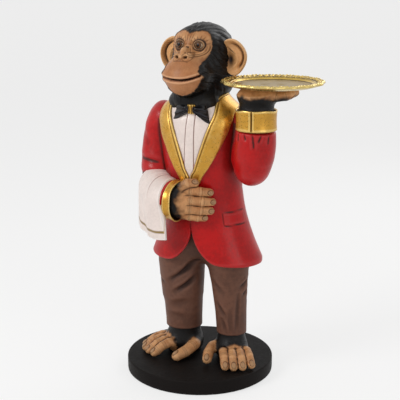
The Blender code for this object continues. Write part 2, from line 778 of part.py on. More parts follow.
def build_eye(name, side):
    """A glass ball in its socket."""
    x, y, z = EYE_CENTRE
    turns = np.linspace(0.2, math.pi - 0.2, 7)
    profile = [(EYE_RADIUS * math.sin(t), -EYE_RADIUS * math.cos(t)) for t in turns]
    return turned(name + "_eye", profile, 12, "eye_glass", in_head((side * x, y, z)))


def build_ear(name, side):
    """A dished blade with a rolled rim, that stands out from the head and faces forwards. Its
    outline is fuller at the top and draws in at the lobe."""
    sweep = math.radians(EAR_SWEEP)
    out = np.array((math.cos(sweep), -math.sin(sweep), 0.0))
    front = np.array((math.sin(sweep), math.cos(sweep), 0.0))
    levels = [(share, EAR_DISH * (share**2 - 1)) for share in (0.15, 0.50, 0.80)]
    levels += [(0.95, 0.001), (1.0, -EAR_THICKNESS * 0.4)]
    levels += [(share, EAR_DISH * (share**2 - 1) - EAR_THICKNESS) for share in (0.90, 0.55, 0.15)]
    rings = []
    for share, depth in levels:
        ring = []
        for turn in full_turn(18):
            wide = EAR_HALF_WIDTH * share * math.sin(turn) * (1 + 0.12 * math.cos(turn))
            tall = EAR_HALF_HEIGHT * share * math.cos(turn)
            x, y, z = np.array(EAR_CENTRE) + out * wide + front * depth + np.array((0.0, 0.0, tall))
            ring.append(in_head((side * x, y, z)))
        rings.append(ring)
    return loft(name + "_ear", rings, "ear_paint")


def build_sleeve(name, keys):
    """A bent sleeve, bonded to the jacket's shoulder and side. It ends square to the cuff."""
    points, radii = zip(*keys)
    path = smooth_path(points, SLEEVE_STEPS)
    widths = smooth_path(np.array(radii)[:, None], SLEEVE_STEPS)[:, 0]
    ends = {"round_start": True, "round_end": False, "last_facing": cuff_frame(name)[1]}
    rings = tube_rings(path, widths, TUBE_SIDES, (0, 1, 0.2), **ends)
    return loft(name + "_sleeve", rings, "red_paint")


def cuff_frame(name):
    """The middle of a sleeve's end, and the direction that the cuff runs in from there."""
    keys = RIGHT_SLEEVE if name == "right" else LEFT_SLEEVE
    axis = unit(RIGHT_CUFF_AXIS if name == "right" else LEFT_CUFF_AXIS)
    return np.array(keys[-1][0]), axis


def build_cuff(name, length):
    """A gold band with a closed floor, and a hollow that the wrist stands in."""
    start, axis = cuff_frame(name)
    levels = np.array((SEAT_GAP, length * 0.3, length * 0.7, length))
    radii = CUFF_RADIUS * np.array((0.985, 1.0, 1.0, 1.01))
    rings = tube_rings(start + axis * levels[:, None], radii, 28, up=(0, 1, 0.2), round_end=False)
    cuff = loft(name + "_cuff", rings, "gold_paint")
    hollow = start + axis * np.array((CUFF_FLOOR, length + 0.01))[:, None]
    rings = tube_rings(hollow, [CUFF_RADIUS - CUFF_WALL] * 2, 28, up=(0, 1, 0.2), round_end=False)
    boolean(cuff, as_cutter(loft(name + "_cuff_hollow", rings, "gold_paint")), "DIFFERENCE")
    return cuff


def cuff_slit():
    """The vent of the raised cuff: a groove down its wall, towards the front."""
    start, axis = cuff_frame("left")
    turn = math.radians(CUFF_SLIT_TURN)
    outwards = np.array((math.sin(turn), -math.cos(turn), 0.0))
    across = np.array((math.cos(turn), math.sin(turn), 0.0)) * CUFF_SLIT_WIDTH / 2
    rings = []
    for level in (-0.01, LEFT_CUFF_LENGTH + 0.01):
        centre = start + axis * level
        near = centre + outwards * (CUFF_RADIUS - CUFF_SLIT_DEPTH)
        far = centre + outwards * (CUFF_RADIUS + 0.01)
        rings.append([near - across, near + across, far + across, far - across])
    return as_cutter(loft("cuff_slit", rings, "gold_paint"))


def wrist_radius():
    return CUFF_RADIUS - CUFF_WALL - WRIST_CLEARANCE


def build_right_hand():
    """The hand on the belly: a deep wrist that stands in the cuff, a palm that flattens towards
    the knuckles, and the digits laid side by side."""
    start, axis = cuff_frame("right")
    radius = wrist_radius()
    points = [start + axis * level for level in (CUFF_FLOOR + SEAT_GAP, RIGHT_CUFF_LENGTH)]
    halves = [(radius, radius), (radius, radius * 0.92)]
    for point, half in RIGHT_PALM:
        points.append(point)
        halves.append(half)
    hand = loft("right_hand", tube_rings(points, halves, 20, facing=axis), "tan_skin_paint")
    for number, keys in enumerate(RIGHT_FINGERS):
        boolean(hand, digit(f"right_finger_{number}", keys, FINGER_RADIUS), "UNION")
    boolean(hand, digit("right_little_finger", RIGHT_LITTLE_FINGER, LITTLE_FINGER_RADIUS), "UNION")
    boolean(hand, digit("right_thumb", RIGHT_THUMB, THUMB_RADIUS), "UNION")
    return hand


def build_left_hand():
    """The hand under the tray: a thick wrist that opens into a flat palm with the digits spread."""
    start, axis = cuff_frame("left")
    radius = wrist_radius()
    wrist = start + axis * LEFT_CUFF_LENGTH
    long, wide, half = LEFT_PALM_HALF
    top = TRAY_UNDERSIDE - SEAT_GAP
    turn = math.radians(LEFT_HAND_TURN)
    along = np.array((math.cos(turn), math.sin(turn), 0.0))
    across = np.array((-math.sin(turn), math.cos(turn), 0.0))
    levels = (
        (start[2] + CUFF_FLOOR + SEAT_GAP, 0.0, radius, radius),
        (wrist[2], 0.0, radius, radius),
        (wrist[2] + 0.012, 0.0, radius * 0.98, radius * 0.95),
        (top - half * 1.5, LEFT_PALM_SHIFT, long, wide),
        (top - half * 0.6, LEFT_PALM_SHIFT, long, wide),
        (top, LEFT_PALM_SHIFT, long * 0.9, wide * 0.9),
    )
    rings = []
    for height, shift, half_long, half_wide in levels:
        centre = np.array((*wrist[:2], height)) + along * shift
        rings.append([
            centre + along * half_long * math.cos(t) + across * half_wide * math.sin(t)
            for t in full_turn(20)
        ])
    hand = loft("left_hand", rings, "tan_skin_paint")
    high = top - FINGER_RADIUS
    for number, (root, tip) in enumerate((*LEFT_FINGERS, LEFT_THUMB)):
        ends = [wrist + along * a + across * b for a, b in (root, tip)]
        places = zip((ends[0], (ends[0] + ends[1]) / 2, ends[1]), LEFT_DIGIT_SAG)
        keys = [(place[0], place[1], high - sag) for place, sag in places]
        boolean(hand, digit(f"left_digit_{number}", keys, FINGER_RADIUS), "UNION")
    return hand


def build_tray():
    """A round salver: a flat floor, a raised rim with shallow scallops, and a boss underneath
    that seats in the palm."""
    low = TRAY_UNDERSIDE
    floor = low + TRAY_FLOOR_THICKNESS
    rim = low + TRAY_HEIGHT
    profile = (
        (TRAY_WELL_RADIUS, low),
        (TRAY_RADIUS - 0.007, rim - TRAY_RIM_WALL - 0.0015),
        (TRAY_RADIUS, rim - TRAY_RIM_WALL),
        (TRAY_RADIUS, rim - 0.001),
        (TRAY_RADIUS - 0.004, rim),
        (TRAY_WELL_RADIUS + 0.010, rim - 0.003),
        (TRAY_WELL_RADIUS + 0.001, floor + 0.001),
        (TRAY_WELL_RADIUS - 0.002, floor),
    )
    tray = turned("tray", profile, TRAY_SCALLOPS * 4, "gold_paint", (*TRAY_CENTRE, 0))
    for vertex in tray.data.vertices:
        radius = math.hypot(vertex.co.x, vertex.co.y)
        turn = math.atan2(vertex.co.y, vertex.co.x)
        share = max(0.0, (radius - TRAY_WELL_RADIUS) / (TRAY_RADIUS - TRAY_WELL_RADIUS))
        grow = 1 + TRAY_SCALLOP_DEPTH / TRAY_RADIUS * share * math.cos(TRAY_SCALLOPS * turn)
        vertex.co.x *= grow
        vertex.co.y *= grow
    place = rod_line()
    high = low + TRAY_FLOOR_THICKNESS / 2
    boss = disc("tray_boss", TRAY_BOSS_RADIUS, low - TRAY_BOSS_DEPTH, high, 24, "gold_paint", place)
    boolean(tray, as_cutter(boss), "UNION")
    return tray, boss


def rod_line():
    """The vertical line of the rod, through the middle of the raised wrist."""
    return (*cuff_frame("left")[0][:2], 0.0)


def build_tray_rod():
    """A steel rod cast into the raised arm. Its upper end stands in the tray's boss."""
    high = TRAY_UNDERSIDE
    return disc("tray_rod", ROD_RADIUS, high - ROD_LENGTH, high, 12, "zinc_steel", rod_line())


def build_towel():
    """The waiter's cloth: it lies over the forearm and falls down its outer side."""
    points, radii = zip(*RIGHT_SLEEVE)
    fine = 60
    path = smooth_path(points, fine)
    widths = smooth_path(np.array(radii)[:, None], fine)[:, 0]
    picks = (np.linspace(TOWEL_START, TOWEL_END, 7) * (fine - 1)).astype(int)
    turns = np.radians(np.linspace(0, TOWEL_OVER_TOP, 8))
    rings = []
    for pick in picks:
        tangent = path[pick + 1] - path[pick - 1]
        outwards = unit((tangent[1], -tangent[0], 0.0))
        near = widths[pick] - SINK
        far = widths[pick] + TOWEL_THICKNESS
        low = -TOWEL_DROP
        outline = [(far + TOWEL_FLARE, low), (far + TOWEL_FLARE * 0.7, low / 2)]
        outline += [(far * math.cos(t), far * math.sin(t)) for t in turns]
        outline += [(near * math.cos(t), near * math.sin(t)) for t in turns[::-1]]
        shift = TOWEL_THICKNESS + SINK
        outline += [(far + TOWEL_FLARE * 0.7 - shift, low / 2), (far + TOWEL_FLARE - shift, low)]
        rings.append([path[pick] + outwards * a + np.array((0, 0, b)) for a, b in outline])
    return loft("towel", rings, "white_paint")


def build_stand():
    """The plinth with its felt, the feet and the trousers, on their two studs."""
    build_felt()
    plinth = build_plinth()
    trousers = build_trousers()
    for name, side in SIDES:
        stud = build_stud(name, side)
        foot = build_foot(name, side)
        seat(plinth, stud)
        seat(foot, stud)
        seat(trousers, foot, stud)
    return trousers


def build_head_and_ears():
    head = build_head()
    for name, side in SIDES:
        seat(head, build_eye(name, side))
        seat(build_ear(name, side), head)
    return head


def build_coat(head):
    """The jacket on the trousers, the shirt in its opening, and the lapels and bow tie on them."""
    jacket = build_jacket()
    seat(jacket, head, bpy.data.objects["trousers"])
    for name, _ in SIDES:
        seat(jacket, bpy.data.objects[name + "_leg"])
    shirt = build_shirt_front()
    lapels = [build_lapel(name, side) for name, side in SIDES]
    seat(shirt, head)
    for lapel in lapels:
        seat(lapel, jacket, head)
    knot = build_bow_knot()
    seat(knot, jacket, head, *lapels)
    for name, side in SIDES:
        seat(build_bow_wing(name, side), knot, jacket, head, *lapels)
    return jacket, lapels


def build_arms(jacket, lapels):
    """Each sleeve, cuff and hand against the coat, with the towel over the right arm and the
    tray on the left hand."""
    arms = {}
    for name, keys in (("right", RIGHT_SLEEVE), ("left", LEFT_SLEEVE)):
        length = LEFT_CUFF_LENGTH if name == "left" else RIGHT_CUFF_LENGTH
        hand = build_left_hand() if name == "left" else build_right_hand()
        arms[name] = (build_sleeve(name, keys), build_cuff(name, length), hand)
        for piece in arms[name]:
            seat(piece, jacket, *lapels)
        seat(arms[name][1], arms[name][0])
    rod = build_tray_rod()
    tray, boss = build_tray()
    seat(tray, rod)
    boolean(arms["left"][1], cuff_slit(), "DIFFERENCE")
    for piece in arms["left"]:
        seat(piece, rod)
    seat(arms["left"][2], boss)
    seat(build_towel(), jacket, *arms["right"])


def build_figure():
    build_stand()
    head = build_head_and_ears()
    build_arms(*build_coat(head))


def weld_castings():
    """Closes the hairline edges that a cut can leave where it grazes a corner."""
    for obj in bpy.data.objects:
        if not obj.hide_render and obj.modifiers:
            weld = obj.modifiers.new("weld", "WELD")
            weld.merge_threshold = WELD_DISTANCE


clear_scene()
build_figure()
weld_castings()
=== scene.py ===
"""The looks of a hand-painted, cast-resin chimpanzee waiter figurine, built round its solids.

Laid out as an add-on: settings hold the sizes and colours, an operator makes each piece or pair
of pieces, and a panel lists them. Units are metres, +Z is up and the figure faces -Y.
"""

import math

import bpy
import numpy as np
from bpy.props import FloatProperty, FloatVectorProperty, PointerProperty
from bpy.types import NodeSocket, Operator, Panel, PropertyGroup
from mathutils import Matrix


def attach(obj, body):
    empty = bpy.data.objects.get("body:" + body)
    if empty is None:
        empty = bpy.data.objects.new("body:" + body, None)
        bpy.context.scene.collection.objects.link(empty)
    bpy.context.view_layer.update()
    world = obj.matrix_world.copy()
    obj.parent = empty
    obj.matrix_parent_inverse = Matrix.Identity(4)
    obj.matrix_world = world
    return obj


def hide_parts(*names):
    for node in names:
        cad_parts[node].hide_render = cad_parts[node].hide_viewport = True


bl_info = {
    "name": "Chimpanzee Waiter Figurine",
    "version": (1, 0, 0),
    "blender": (4, 5, 0),
    "location": "3D View > Sidebar > Figurine",
    "description": "Builds the painted surfaces of a resin chimpanzee waiter round its solids",
    "category": "Add Mesh",
}

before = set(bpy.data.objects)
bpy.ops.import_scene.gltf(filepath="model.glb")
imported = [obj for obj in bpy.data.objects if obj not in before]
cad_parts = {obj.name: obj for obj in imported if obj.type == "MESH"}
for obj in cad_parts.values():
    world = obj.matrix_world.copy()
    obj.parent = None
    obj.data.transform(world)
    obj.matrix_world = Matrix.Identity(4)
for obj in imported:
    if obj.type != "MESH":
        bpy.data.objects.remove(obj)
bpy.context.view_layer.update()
SIDES = (("right", -1), ("left", 1))

# Plinth, legs and seat
PLINTH_TOP = 0.039
PLINTH_RADIUS = 0.195
STANCE_CENTRE = (0.0195, 0.0095)
ANKLE_SPREAD = 0.137
FOOT_SPLAY = {"right": 46, "left": 34}
HIP_CENTRE = (0.012, 0.004)
HIP_SPREAD = 0.12
TROUSER_HEM = 0.112
LEG_TOP = 0.335
SEAT_HEIGHT = 0.385
SEAT_HALF = (0.104, 0.072, 0.09)
TROUSER_TOP = 0.448

# Coat from the hem to the neck: height, half width, half depth and shift of the middle forwards
COAT_STATIONS = (
    (0.32, 0.144, 0.109, 0.0), (0.345, 0.134, 0.104, 0.0), (0.38, 0.121, 0.097, 0.0),
    (0.425, 0.109, 0.091, 0.0), (0.47, 0.102, 0.088, 0.0), (0.515, 0.101, 0.089, 0.0),
    (0.565, 0.106, 0.093, 0.0), (0.61, 0.113, 0.095, 0.0), (0.65, 0.117, 0.094, 0.002),
    (0.68, 0.115, 0.0885, 0.0045), (0.7, 0.106, 0.081, 0.006), (0.715, 0.093, 0.075, 0.007),
    (0.727, 0.078, 0.0685, 0.0075), (0.736, 0.067, 0.064, 0.007), (0.748, 0.06, 0.0595, 0.0065),
)
COAT_AXIS_HEM = (0.024, 0.008)
COAT_AXIS_CHEST = (0.009, 0.003)
AXIS_STRAIGHT_ABOVE = 0.545
HEM_TILT = -0.07
CUTAWAY_TOP = 0.44
SKIRT_WALL = 0.009

# Shawl lapels: turn in degrees from the opening's middle, and height, from below to the nape
LAPEL_SKEW = 2.3
LAPEL_INNER = (
    (0.4, 0.503), (0.4, 0.527), (1.0, 0.546), (5.8, 0.564), (12.0, 0.605), (20.0, 0.655),
    (28.0, 0.69), (41.0, 0.722), (60.0, 0.742), (90.0, 0.748), (120.0, 0.748), (150.0, 0.748),
    (180.0, 0.748),
)
LAPEL_OUTER = (
    (3.5, 0.498), (12.5, 0.524), (19.0, 0.547), (27.0, 0.57), (37.0, 0.606), (48.0, 0.648),
    (57.0, 0.681), (69.0, 0.703), (88.0, 0.713), (110.0, 0.715), (130.0, 0.717), (153.0, 0.718),
    (180.0, 0.718),
)

# Arms: points of each sleeve's middle line, with its radius there
SLEEVES = {
    "right": (
        (-0.066, 0.004, 0.7, 0.045), (-0.094, 0.001, 0.67, 0.049), (-0.107, -0.004, 0.624, 0.048),
        (-0.11, -0.016, 0.566, 0.046), (-0.102, -0.032, 0.516, 0.046), (-0.091, -0.057, 0.5, 0.047),
        (-0.072, -0.08, 0.491, 0.048), (-0.048, -0.0955, 0.486, 0.048),
        (-0.027, -0.1015, 0.484, 0.048),
    ),
    "left": (
        (0.074, 0.004, 0.694, 0.045), (0.1, 0.002, 0.668, 0.047), (0.124, -0.004, 0.626, 0.046),
        (0.146, -0.024, 0.588, 0.044), (0.164, -0.048, 0.572, 0.044), (0.172, -0.057, 0.6, 0.05),
        (0.177, -0.06, 0.636, 0.051), (0.179, -0.061, 0.67, 0.048),
    ),
}
# Cuffs: start, direction, length and radius
CUFFS = {
    "right": ((-0.027, -0.1015, 0.484), (0.987, -0.15, -0.05), 0.022, 0.052),
    "left": ((0.179, -0.061, 0.67), (0.0, 0.0, 1.0), 0.052, 0.05),
}

# Edge of the bare face, in the head's own frame: sideways and up, from the brow to the chin
FACE_OUTLINE = (
    (0.0, 0.0515), (0.007, 0.0545), (0.02, 0.0575), (0.033, 0.0565), (0.046, 0.049),
    (0.0515, 0.035), (0.0525, 0.016), (0.0495, 0.004), (0.0445, -0.006), (0.043, -0.014),
    (0.0435, -0.024), (0.046, -0.034), (0.052, -0.042), (0.056, -0.048), (0.05, -0.058),
    (0.042, -0.071), (0.032, -0.083), (0.015, -0.092), (0.0, -0.0945),
)


def srgb(*levels):
    """The linear colour that shows as these 0 to 1 screen levels."""
    return tuple(((c + 0.055) / 1.055) ** 2.4 if c > 0.04045 else c / 12.92 for c in levels)


def length(name, description, default):
    return FloatProperty(name=name, description=description, default=default, unit="LENGTH")


def colour(name, description, *levels):
    return FloatVectorProperty(
        name=name, description=description, default=srgb(*levels), size=3, subtype="COLOR"
    )


class FigurineSettings(PropertyGroup):
    head_centre: FloatVectorProperty(
        name="Head centre",
        description="Middle of the skull",
        default=(0.0055, 0.0, 0.845),
        size=3,
        unit="LENGTH",
        subtype="XYZ",
    )
    head_turn: FloatProperty(
        name="Head turn",
        description="Turn of the head to its own right",
        default=math.radians(2.5),
        unit="ROTATION",
    )
    fur_depth: length("Fur depth", "Height of the fur's edge over the bare skin", 0.0014)
    eye_radius: length("Eye radius", "Radius of the glass eyes", 0.0125)
    lapel_thickness: length("Lapel thickness", "How far the collar stands out of the coat", 0.0055)
    shirt_lift: length("Shirt lift", "How far the shirt stands over the coat's line", 0.0008)
    fold_depth: length("Fold depth", "Depth of the deepest folds in the cloth", 0.0045)
    tray_radius: length("Tray radius", "Middle radius of the tray's scalloped edge", 0.1235)
    towel_drop: length("Towel drop", "Fall of the towel below the arm's middle", 0.1)
    red: colour("Coat red", "Paint of the coat and sleeves", 0.73, 0.06, 0.065)
    brown: colour("Trouser brown", "Paint of the trousers", 0.42, 0.275, 0.21)
    white: colour("Linen white", "Paint of the shirt and towel", 0.93, 0.87, 0.84)
    gold: colour("Antique gold", "Paint of the collar, cuffs and knot", 0.8, 0.6, 0.24)
    tray_gold: colour("Tray gold", "Plating of the tray", 0.86, 0.72, 0.36)
    fur: colour("Fur black", "Paint of the fur", 0.055, 0.045, 0.044)
    skin: colour("Skin", "Paint of the bare skin", 0.81, 0.595, 0.405)
    ear: colour("Ear", "Paint of the ears", 0.87, 0.65, 0.43)
    satin: colour("Bow black", "Paint of the bow tie", 0.055, 0.052, 0.065)
    plinth: colour("Plinth black", "Paint of the plinth", 0.08, 0.068, 0.064)
    # The wash colour also paints the shade that the line masks carry.
    wash: colour("Wash And Shade", "Dark brown rubbed into the hollows", 0.16, 0.09, 0.07)
    floor: colour("Floor", "Colour of the stage", 0.96, 0.96, 0.955)


def settings():
    return bpy.context.scene.figurine


# Arrays and curves


def unit(vectors):
    vectors = np.asarray(vectors, float)
    return vectors / np.linalg.norm(vectors, axis=-1, keepdims=True)


def smoothstep(low, high, values):
    """0 below low, 1 above high, and 3 t squared less 2 t cubed between them."""
    t = np.clip((values - low) / (high - low), 0.0, 1.0)
    return t * t * (3 - 2 * t)


def bump(values, width):
    """A bell: e to the minus the square of the values over the width."""
    return np.exp(-((values / width) ** 2))


def smooth_path(keys, count):
    """A Catmull-Rom curve: each point is a cubic of its four nearest keys, read at even steps of
    the key's number. The keys may have any number of columns."""
    keys = np.array(keys, float)
    last = len(keys) - 1
    keys = np.vstack([2 * keys[0] - keys[1], keys, 2 * keys[-1] - keys[-2]])
    at = np.linspace(0, last, count)
    i = np.minimum(at.astype(int), last - 1)
    t = (at - i)[:, None]
    p0, p1, p2, p3 = (keys[i + k] for k in range(4))
    cubic = 3 * p1 - p0 - 3 * p2 + p3
    square = 2 * p0 - 5 * p1 + 4 * p2 - p3
    return 0.5 * (2 * p1 + (p2 - p0) * t + square * t**2 + cubic * t**3)


def read_table(table, at):
    """The other columns of a table, read at places along its first one on a smooth curve."""
    fine = smooth_path(table, 24 * len(table))
    return [np.interp(at, fine[:, 0], column) for column in fine[:, 1:].T]


def ripple(points, scale, octaves=3):
    """Soft noise between about -1 and 1: products of sines of bent coordinates, each octave half
    as high and twice as fine."""
    p = np.asarray(points, float) * scale
    total = np.zeros(p.shape[:-1])
    gain = 1.0
    for octave in range(octaves):
        a = 1.7 * octave + 0.6
        x = p[..., 0] + 1.3 * np.sin(0.9 * p[..., 1] + a) + 0.7 * np.sin(1.7 * p[..., 2] + 2 * a)
        y = p[..., 1] + 1.1 * np.sin(1.1 * p[..., 2] - a) + 0.8 * np.sin(1.4 * p[..., 0] + a)
        z = p[..., 2] + 1.2 * np.sin(1.2 * p[..., 0] + 3 * a)
        total += gain * np.sin(x) * np.sin(y + 0.5 * z) * np.cos(0.8 * z)
        p = p * 2.03 + 11.7
        gain *= 0.5
    return total


def full_turn(count):
    return np.linspace(0, 2 * math.pi, count, endpoint=False)


# Distances, for the forms that branch


def ball(points, centre, half):
    """About how far points lie outside an ellipsoid: the length q of the scaled vector times
    q - 1, over the length of the doubly scaled one."""
    q = (points - np.array(centre)) / np.array(half)
    near = np.linalg.norm(q, axis=-1)
    slope = np.linalg.norm(q / np.array(half), axis=-1)
    return near * (near - 1) / np.maximum(slope, 1e-9)


def limb(points, keys):
    """How far points lie outside a limb of balls rolled along straight stretches, with the share
    of the way along it: on each stretch the nearest point is where the projection falls."""
    keys = np.array(keys, float)
    best = np.full(points.shape[:-1], 9.0)
    share = np.zeros(points.shape[:-1])
    for number, (a, b) in enumerate(zip(keys, keys[1:])):
        along = b[:3] - a[:3]
        t = np.clip((points - a[:3]) @ along / (along @ along), 0, 1)
        gap = np.linalg.norm(points - a[:3] - t[..., None] * along, axis=-1) - a[3] - (b[3] - a[3]) * t
        nearer = gap < best
        best = np.where(nearer, gap, best)
        share = np.where(nearer, (number + t) / (len(keys) - 1), share)
    return best, share


def blend(a, b, width):
    """The smaller of two distances, rounded where they are within a width of each other."""
    h = np.maximum(width - np.abs(a - b), 0) / width
    return np.minimum(a, b) - h * h * width / 4


def carve(a, b, width):
    """The first form less the second, with a rounded edge."""
    return -blend(-a, b, width)


def net(distance, low, high, step):
    """The surface where a distance is zero: a vertex in each cell of a cubic grid that it crosses
    and a quad round each edge that it crosses. The vertices are then slid down the distance's
    slope, by the distance over its gradient, until they lie on it."""
    axes = [np.arange(a, b + step, step) for a, b in zip(low, high)]
    inside = distance(np.stack(np.meshgrid(*axes, indexing="ij"), -1)) < 0
    cells = sum(
        inside[i : inside.shape[0] - 1 + i, j : inside.shape[1] - 1 + j, k : inside.shape[2] - 1 + k]
        .astype(np.int8)
        for i in (0, 1)
        for j in (0, 1)
        for k in (0, 1)
    )
    crossed = (cells > 0) & (cells < 8)
    number = np.full(crossed.shape, -1)
    number[crossed] = np.arange(crossed.sum())
    points = np.argwhere(crossed) * step + np.array([axis[0] for axis in axes]) + step / 2
    quads = []
    for axis in range(3):
        order = (axis, (axis + 1) % 3, (axis + 2) % 3)
        here = inside.transpose(order)
        cell = number.transpose(order)
        change = here[:-1, 1:-1, 1:-1] != here[1:, 1:-1, 1:-1]
        i, j, k = np.nonzero(change)
        ring = np.stack([cell[i, j, k], cell[i, j + 1, k], cell[i, j + 1, k + 1], cell[i, j, k + 1]], -1)
        outward = here[:-1, 1:-1, 1:-1][change]
        quads.append(np.where(outward[:, None], ring, ring[:, ::-1]))
    start = points.copy()
    nudge = step * 0.25
    for _ in range(5):
        value = distance(points)
        slope = np.stack(
            [(distance(points + d) - distance(points - d)) / (2 * nudge) for d in np.eye(3) * nudge], -1
        )
        slide = -value / np.maximum((slope**2).sum(-1), 0.05)
        points = points + 0.8 * slide[:, None] * slope
        points = start + np.clip(points - start, -step * 0.75, step * 0.75)
    return points, (np.concatenate(quads), np.empty((0, 3), int))


def closed_grid(grid):
    """Points and faces of a closed surface: quads between the rows, whose columns go round, and
    a fan at each end to the middle of its row."""
    rows, columns = grid.shape[:2]
    index = np.arange(rows * columns).reshape(rows, columns)
    ahead = np.roll(index, -1, axis=1)
    quads = np.stack([index[:-1], ahead[:-1], ahead[1:], index[1:]], -1).reshape(-1, 4)
    fans = []
    for row, pole, flip in ((0, rows * columns, True), (-1, rows * columns + 1, False)):
        fan = np.stack([index[row], ahead[row], np.full(columns, pole)], -1)
        fans.append(fan[:, ::-1] if flip else fan)
    points = np.concatenate([grid.reshape(-1, 3), grid[0].mean(0)[None], grid[-1].mean(0)[None]])
    return points, (quads, np.concatenate(fans))


def tube(path, high, wide, sides, up, swell=0.0):
    """Rings round a path: the middle, plus high cos t upwards and wide sin t sideways, with a
    swell added to both radii."""
    tangent = unit(np.gradient(path, axis=0))
    side = unit(np.cross(tangent, np.broadcast_to(np.array(up, float), path.shape)))
    upward = np.cross(side, tangent)
    turn = full_turn(sides)
    high, wide = (np.broadcast_to(half, len(path))[:, None] + swell for half in (high, wide))
    rise = (high * np.cos(turn))[..., None] * upward[:, None]
    return path[:, None] + rise + (wide * np.sin(turn))[..., None] * side[:, None]


def round_off(count, share, start=True, end=True):
    """Factors for radii along a tube that close its ends as a quarter circle does."""
    t = np.linspace(0, 1, count)
    scale = np.ones(count)
    for wanted, way in ((start, t), (end, 1 - t)):
        if wanted:
            scale = scale * np.sqrt(np.clip(1 - np.clip(1 - way / share, 0, 1) ** 2, 0.004, 1))
    return scale


# Meshes


def new_mesh(name, points, faces):
    """A mesh from arrays. Its faces are turned over where the volume they hold is negative."""
    quads, fans = faces
    a, b, c = (points[quads[:, k]] for k in (0, 1, 2))
    d = points[quads[:, 3]]
    volume = (a * np.cross(b, c)).sum() + (a * np.cross(c, d)).sum()
    if len(fans):
        a, b, c = (points[fans[:, k]] for k in range(3))
        volume += (a * np.cross(b, c)).sum()
    if volume < 0:
        quads, fans = quads[:, ::-1], fans[:, ::-1]
    corners = np.concatenate([quads.ravel(), fans.ravel()])
    starts = np.concatenate([np.arange(len(quads)) * 4, quads.size + np.arange(len(fans)) * 3])
    mesh = bpy.data.meshes.new(name)
    mesh.vertices.add(len(points))
    mesh.vertices.foreach_set("co", points.astype(np.float32).ravel())
    mesh.loops.add(len(corners))
    mesh.loops.foreach_set("vertex_index", corners.astype(np.int32))
    mesh.polygons.add(len(starts))
    mesh.polygons.foreach_set("loop_start", starts.astype(np.int32))
    mesh.update(calc_edges=True)
    mesh.validate()
    mesh.shade_smooth()
    return mesh


def even_out(values, edges, rounds):
    """Values at the vertices, each replaced by the mean of its neighbours' so many times."""
    ends = np.concatenate([edges, edges[:, ::-1]])
    count = np.bincount(ends[:, 0], minlength=len(values))[:, None]
    for _ in range(rounds):
        sums = [
            np.bincount(ends[:, 0], column, minlength=len(values)) for column in values[ends[:, 1]].T
        ]
        values = np.stack(sums, -1) / np.maximum(count, 1)
    return values


def read_array(collection, field, width, kind=np.float32):
    values = np.empty(len(collection) * width, kind)
    collection.foreach_get(field, values)
    return values.reshape(-1, width)


def find_hollows(mesh, depth, rounds=8):
    """How far each vertex lies below its evened surroundings, as a share of a depth, 1 in a
    hollow and -1 on a ridge."""
    points = read_array(mesh.vertices, "co", 3).astype(float)
    edges = read_array(mesh.edges, "vertices", 2, np.int32)
    normals = read_array(mesh.vertex_normals, "vector", 3).astype(float)
    near = even_out(points, edges, 2)
    far = even_out(near, edges, rounds)
    sunk = ((near - points) * normals).sum(-1) * 2.5 + ((far - points) * normals).sum(-1)
    sunk = even_out(sunk[:, None], edges, 1)[:, 0]
    return np.clip(sunk / depth, -1, 1)


def set_attribute(mesh, name, values):
    values = np.asarray(values, np.float32)
    kind, field = ("FLOAT", "value") if values.ndim == 1 else ("FLOAT_VECTOR", "vector")
    mesh.attributes.new(name, kind, "POINT").data.foreach_set(field, values.ravel())


def dress(name, points, faces, material, nodes, masks=None, depth=0.0012):
    """Makes a piece of the figure from arrays, with its paint masks, in place of CAD nodes."""
    mesh = new_mesh(name, points, faces)
    set_attribute(mesh, "hollow", find_hollows(mesh, depth))
    for key, values in (masks or {}).items():
        values = np.asarray(values, float)
        missing = len(mesh.vertices) - len(values)
        if missing:
            values = np.concatenate([values, np.repeat(values[-1:], missing, axis=0)])
        set_attribute(mesh, key, values)
    mesh.materials.append(material)
    obj = bpy.data.objects.new(name, mesh)
    bpy.context.scene.collection.objects.link(obj)
    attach(obj, "root")
    if nodes:
        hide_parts(*nodes)


# Materials


def put(tree, kind, links=None, **fields):
    """Adds a shader node. Links give each input a value or the socket that feeds it."""
    node = tree.nodes.new(kind)
    for key, value in fields.items():
        setattr(node, key, value)
    for key, value in (links or {}).items():
        if isinstance(value, NodeSocket):
            tree.links.new(value, node.inputs[key])
        else:
            node.inputs[key].default_value = value
    return node


def math_node(tree, operation, *values, clamp=False):
    links = dict(enumerate(values))
    return put(tree, "ShaderNodeMath", links, operation=operation, use_clamp=clamp).outputs[0]


def spread(tree, value, low, high, to_low=0.0, to_high=1.0):
    """Maps a value from one range to another, smoothly and held inside it."""
    links = {"Value": value, "From Min": low, "From Max": high, "To Min": to_low, "To Max": to_high}
    return put(tree, "ShaderNodeMapRange", links, interpolation_type="SMOOTHSTEP").outputs[0]


def mix(tree, factor, first, second, blend_type="MIX"):
    links = {0: factor, 6: first, 7: second}
    return put(tree, "ShaderNodeMix", links, data_type="RGBA", blend_type=blend_type).outputs[2]


def noise(tree, vector, scale, detail=3.0, roughness=0.55):
    links = {"Vector": vector, "Scale": scale, "Detail": detail, "Roughness": roughness}
    return put(tree, "ShaderNodeTexNoise", links).outputs[0]


def new_group(name, inputs, outputs):
    """An empty shader node group with these sockets, and its input and output nodes."""
    group = bpy.data.node_groups.new(name, "ShaderNodeTree")
    kinds = {"c": "NodeSocketColor", "v": "NodeSocketVector", "f": "NodeSocketFloat"}
    for way, sockets in (("INPUT", inputs), ("OUTPUT", outputs)):
        for label, kind in sockets.items():
            group.interface.new_socket(label, in_out=way, socket_type=kinds[kind])
    return group, group.nodes.new("NodeGroupInput").outputs, group.nodes.new("NodeGroupOutput")


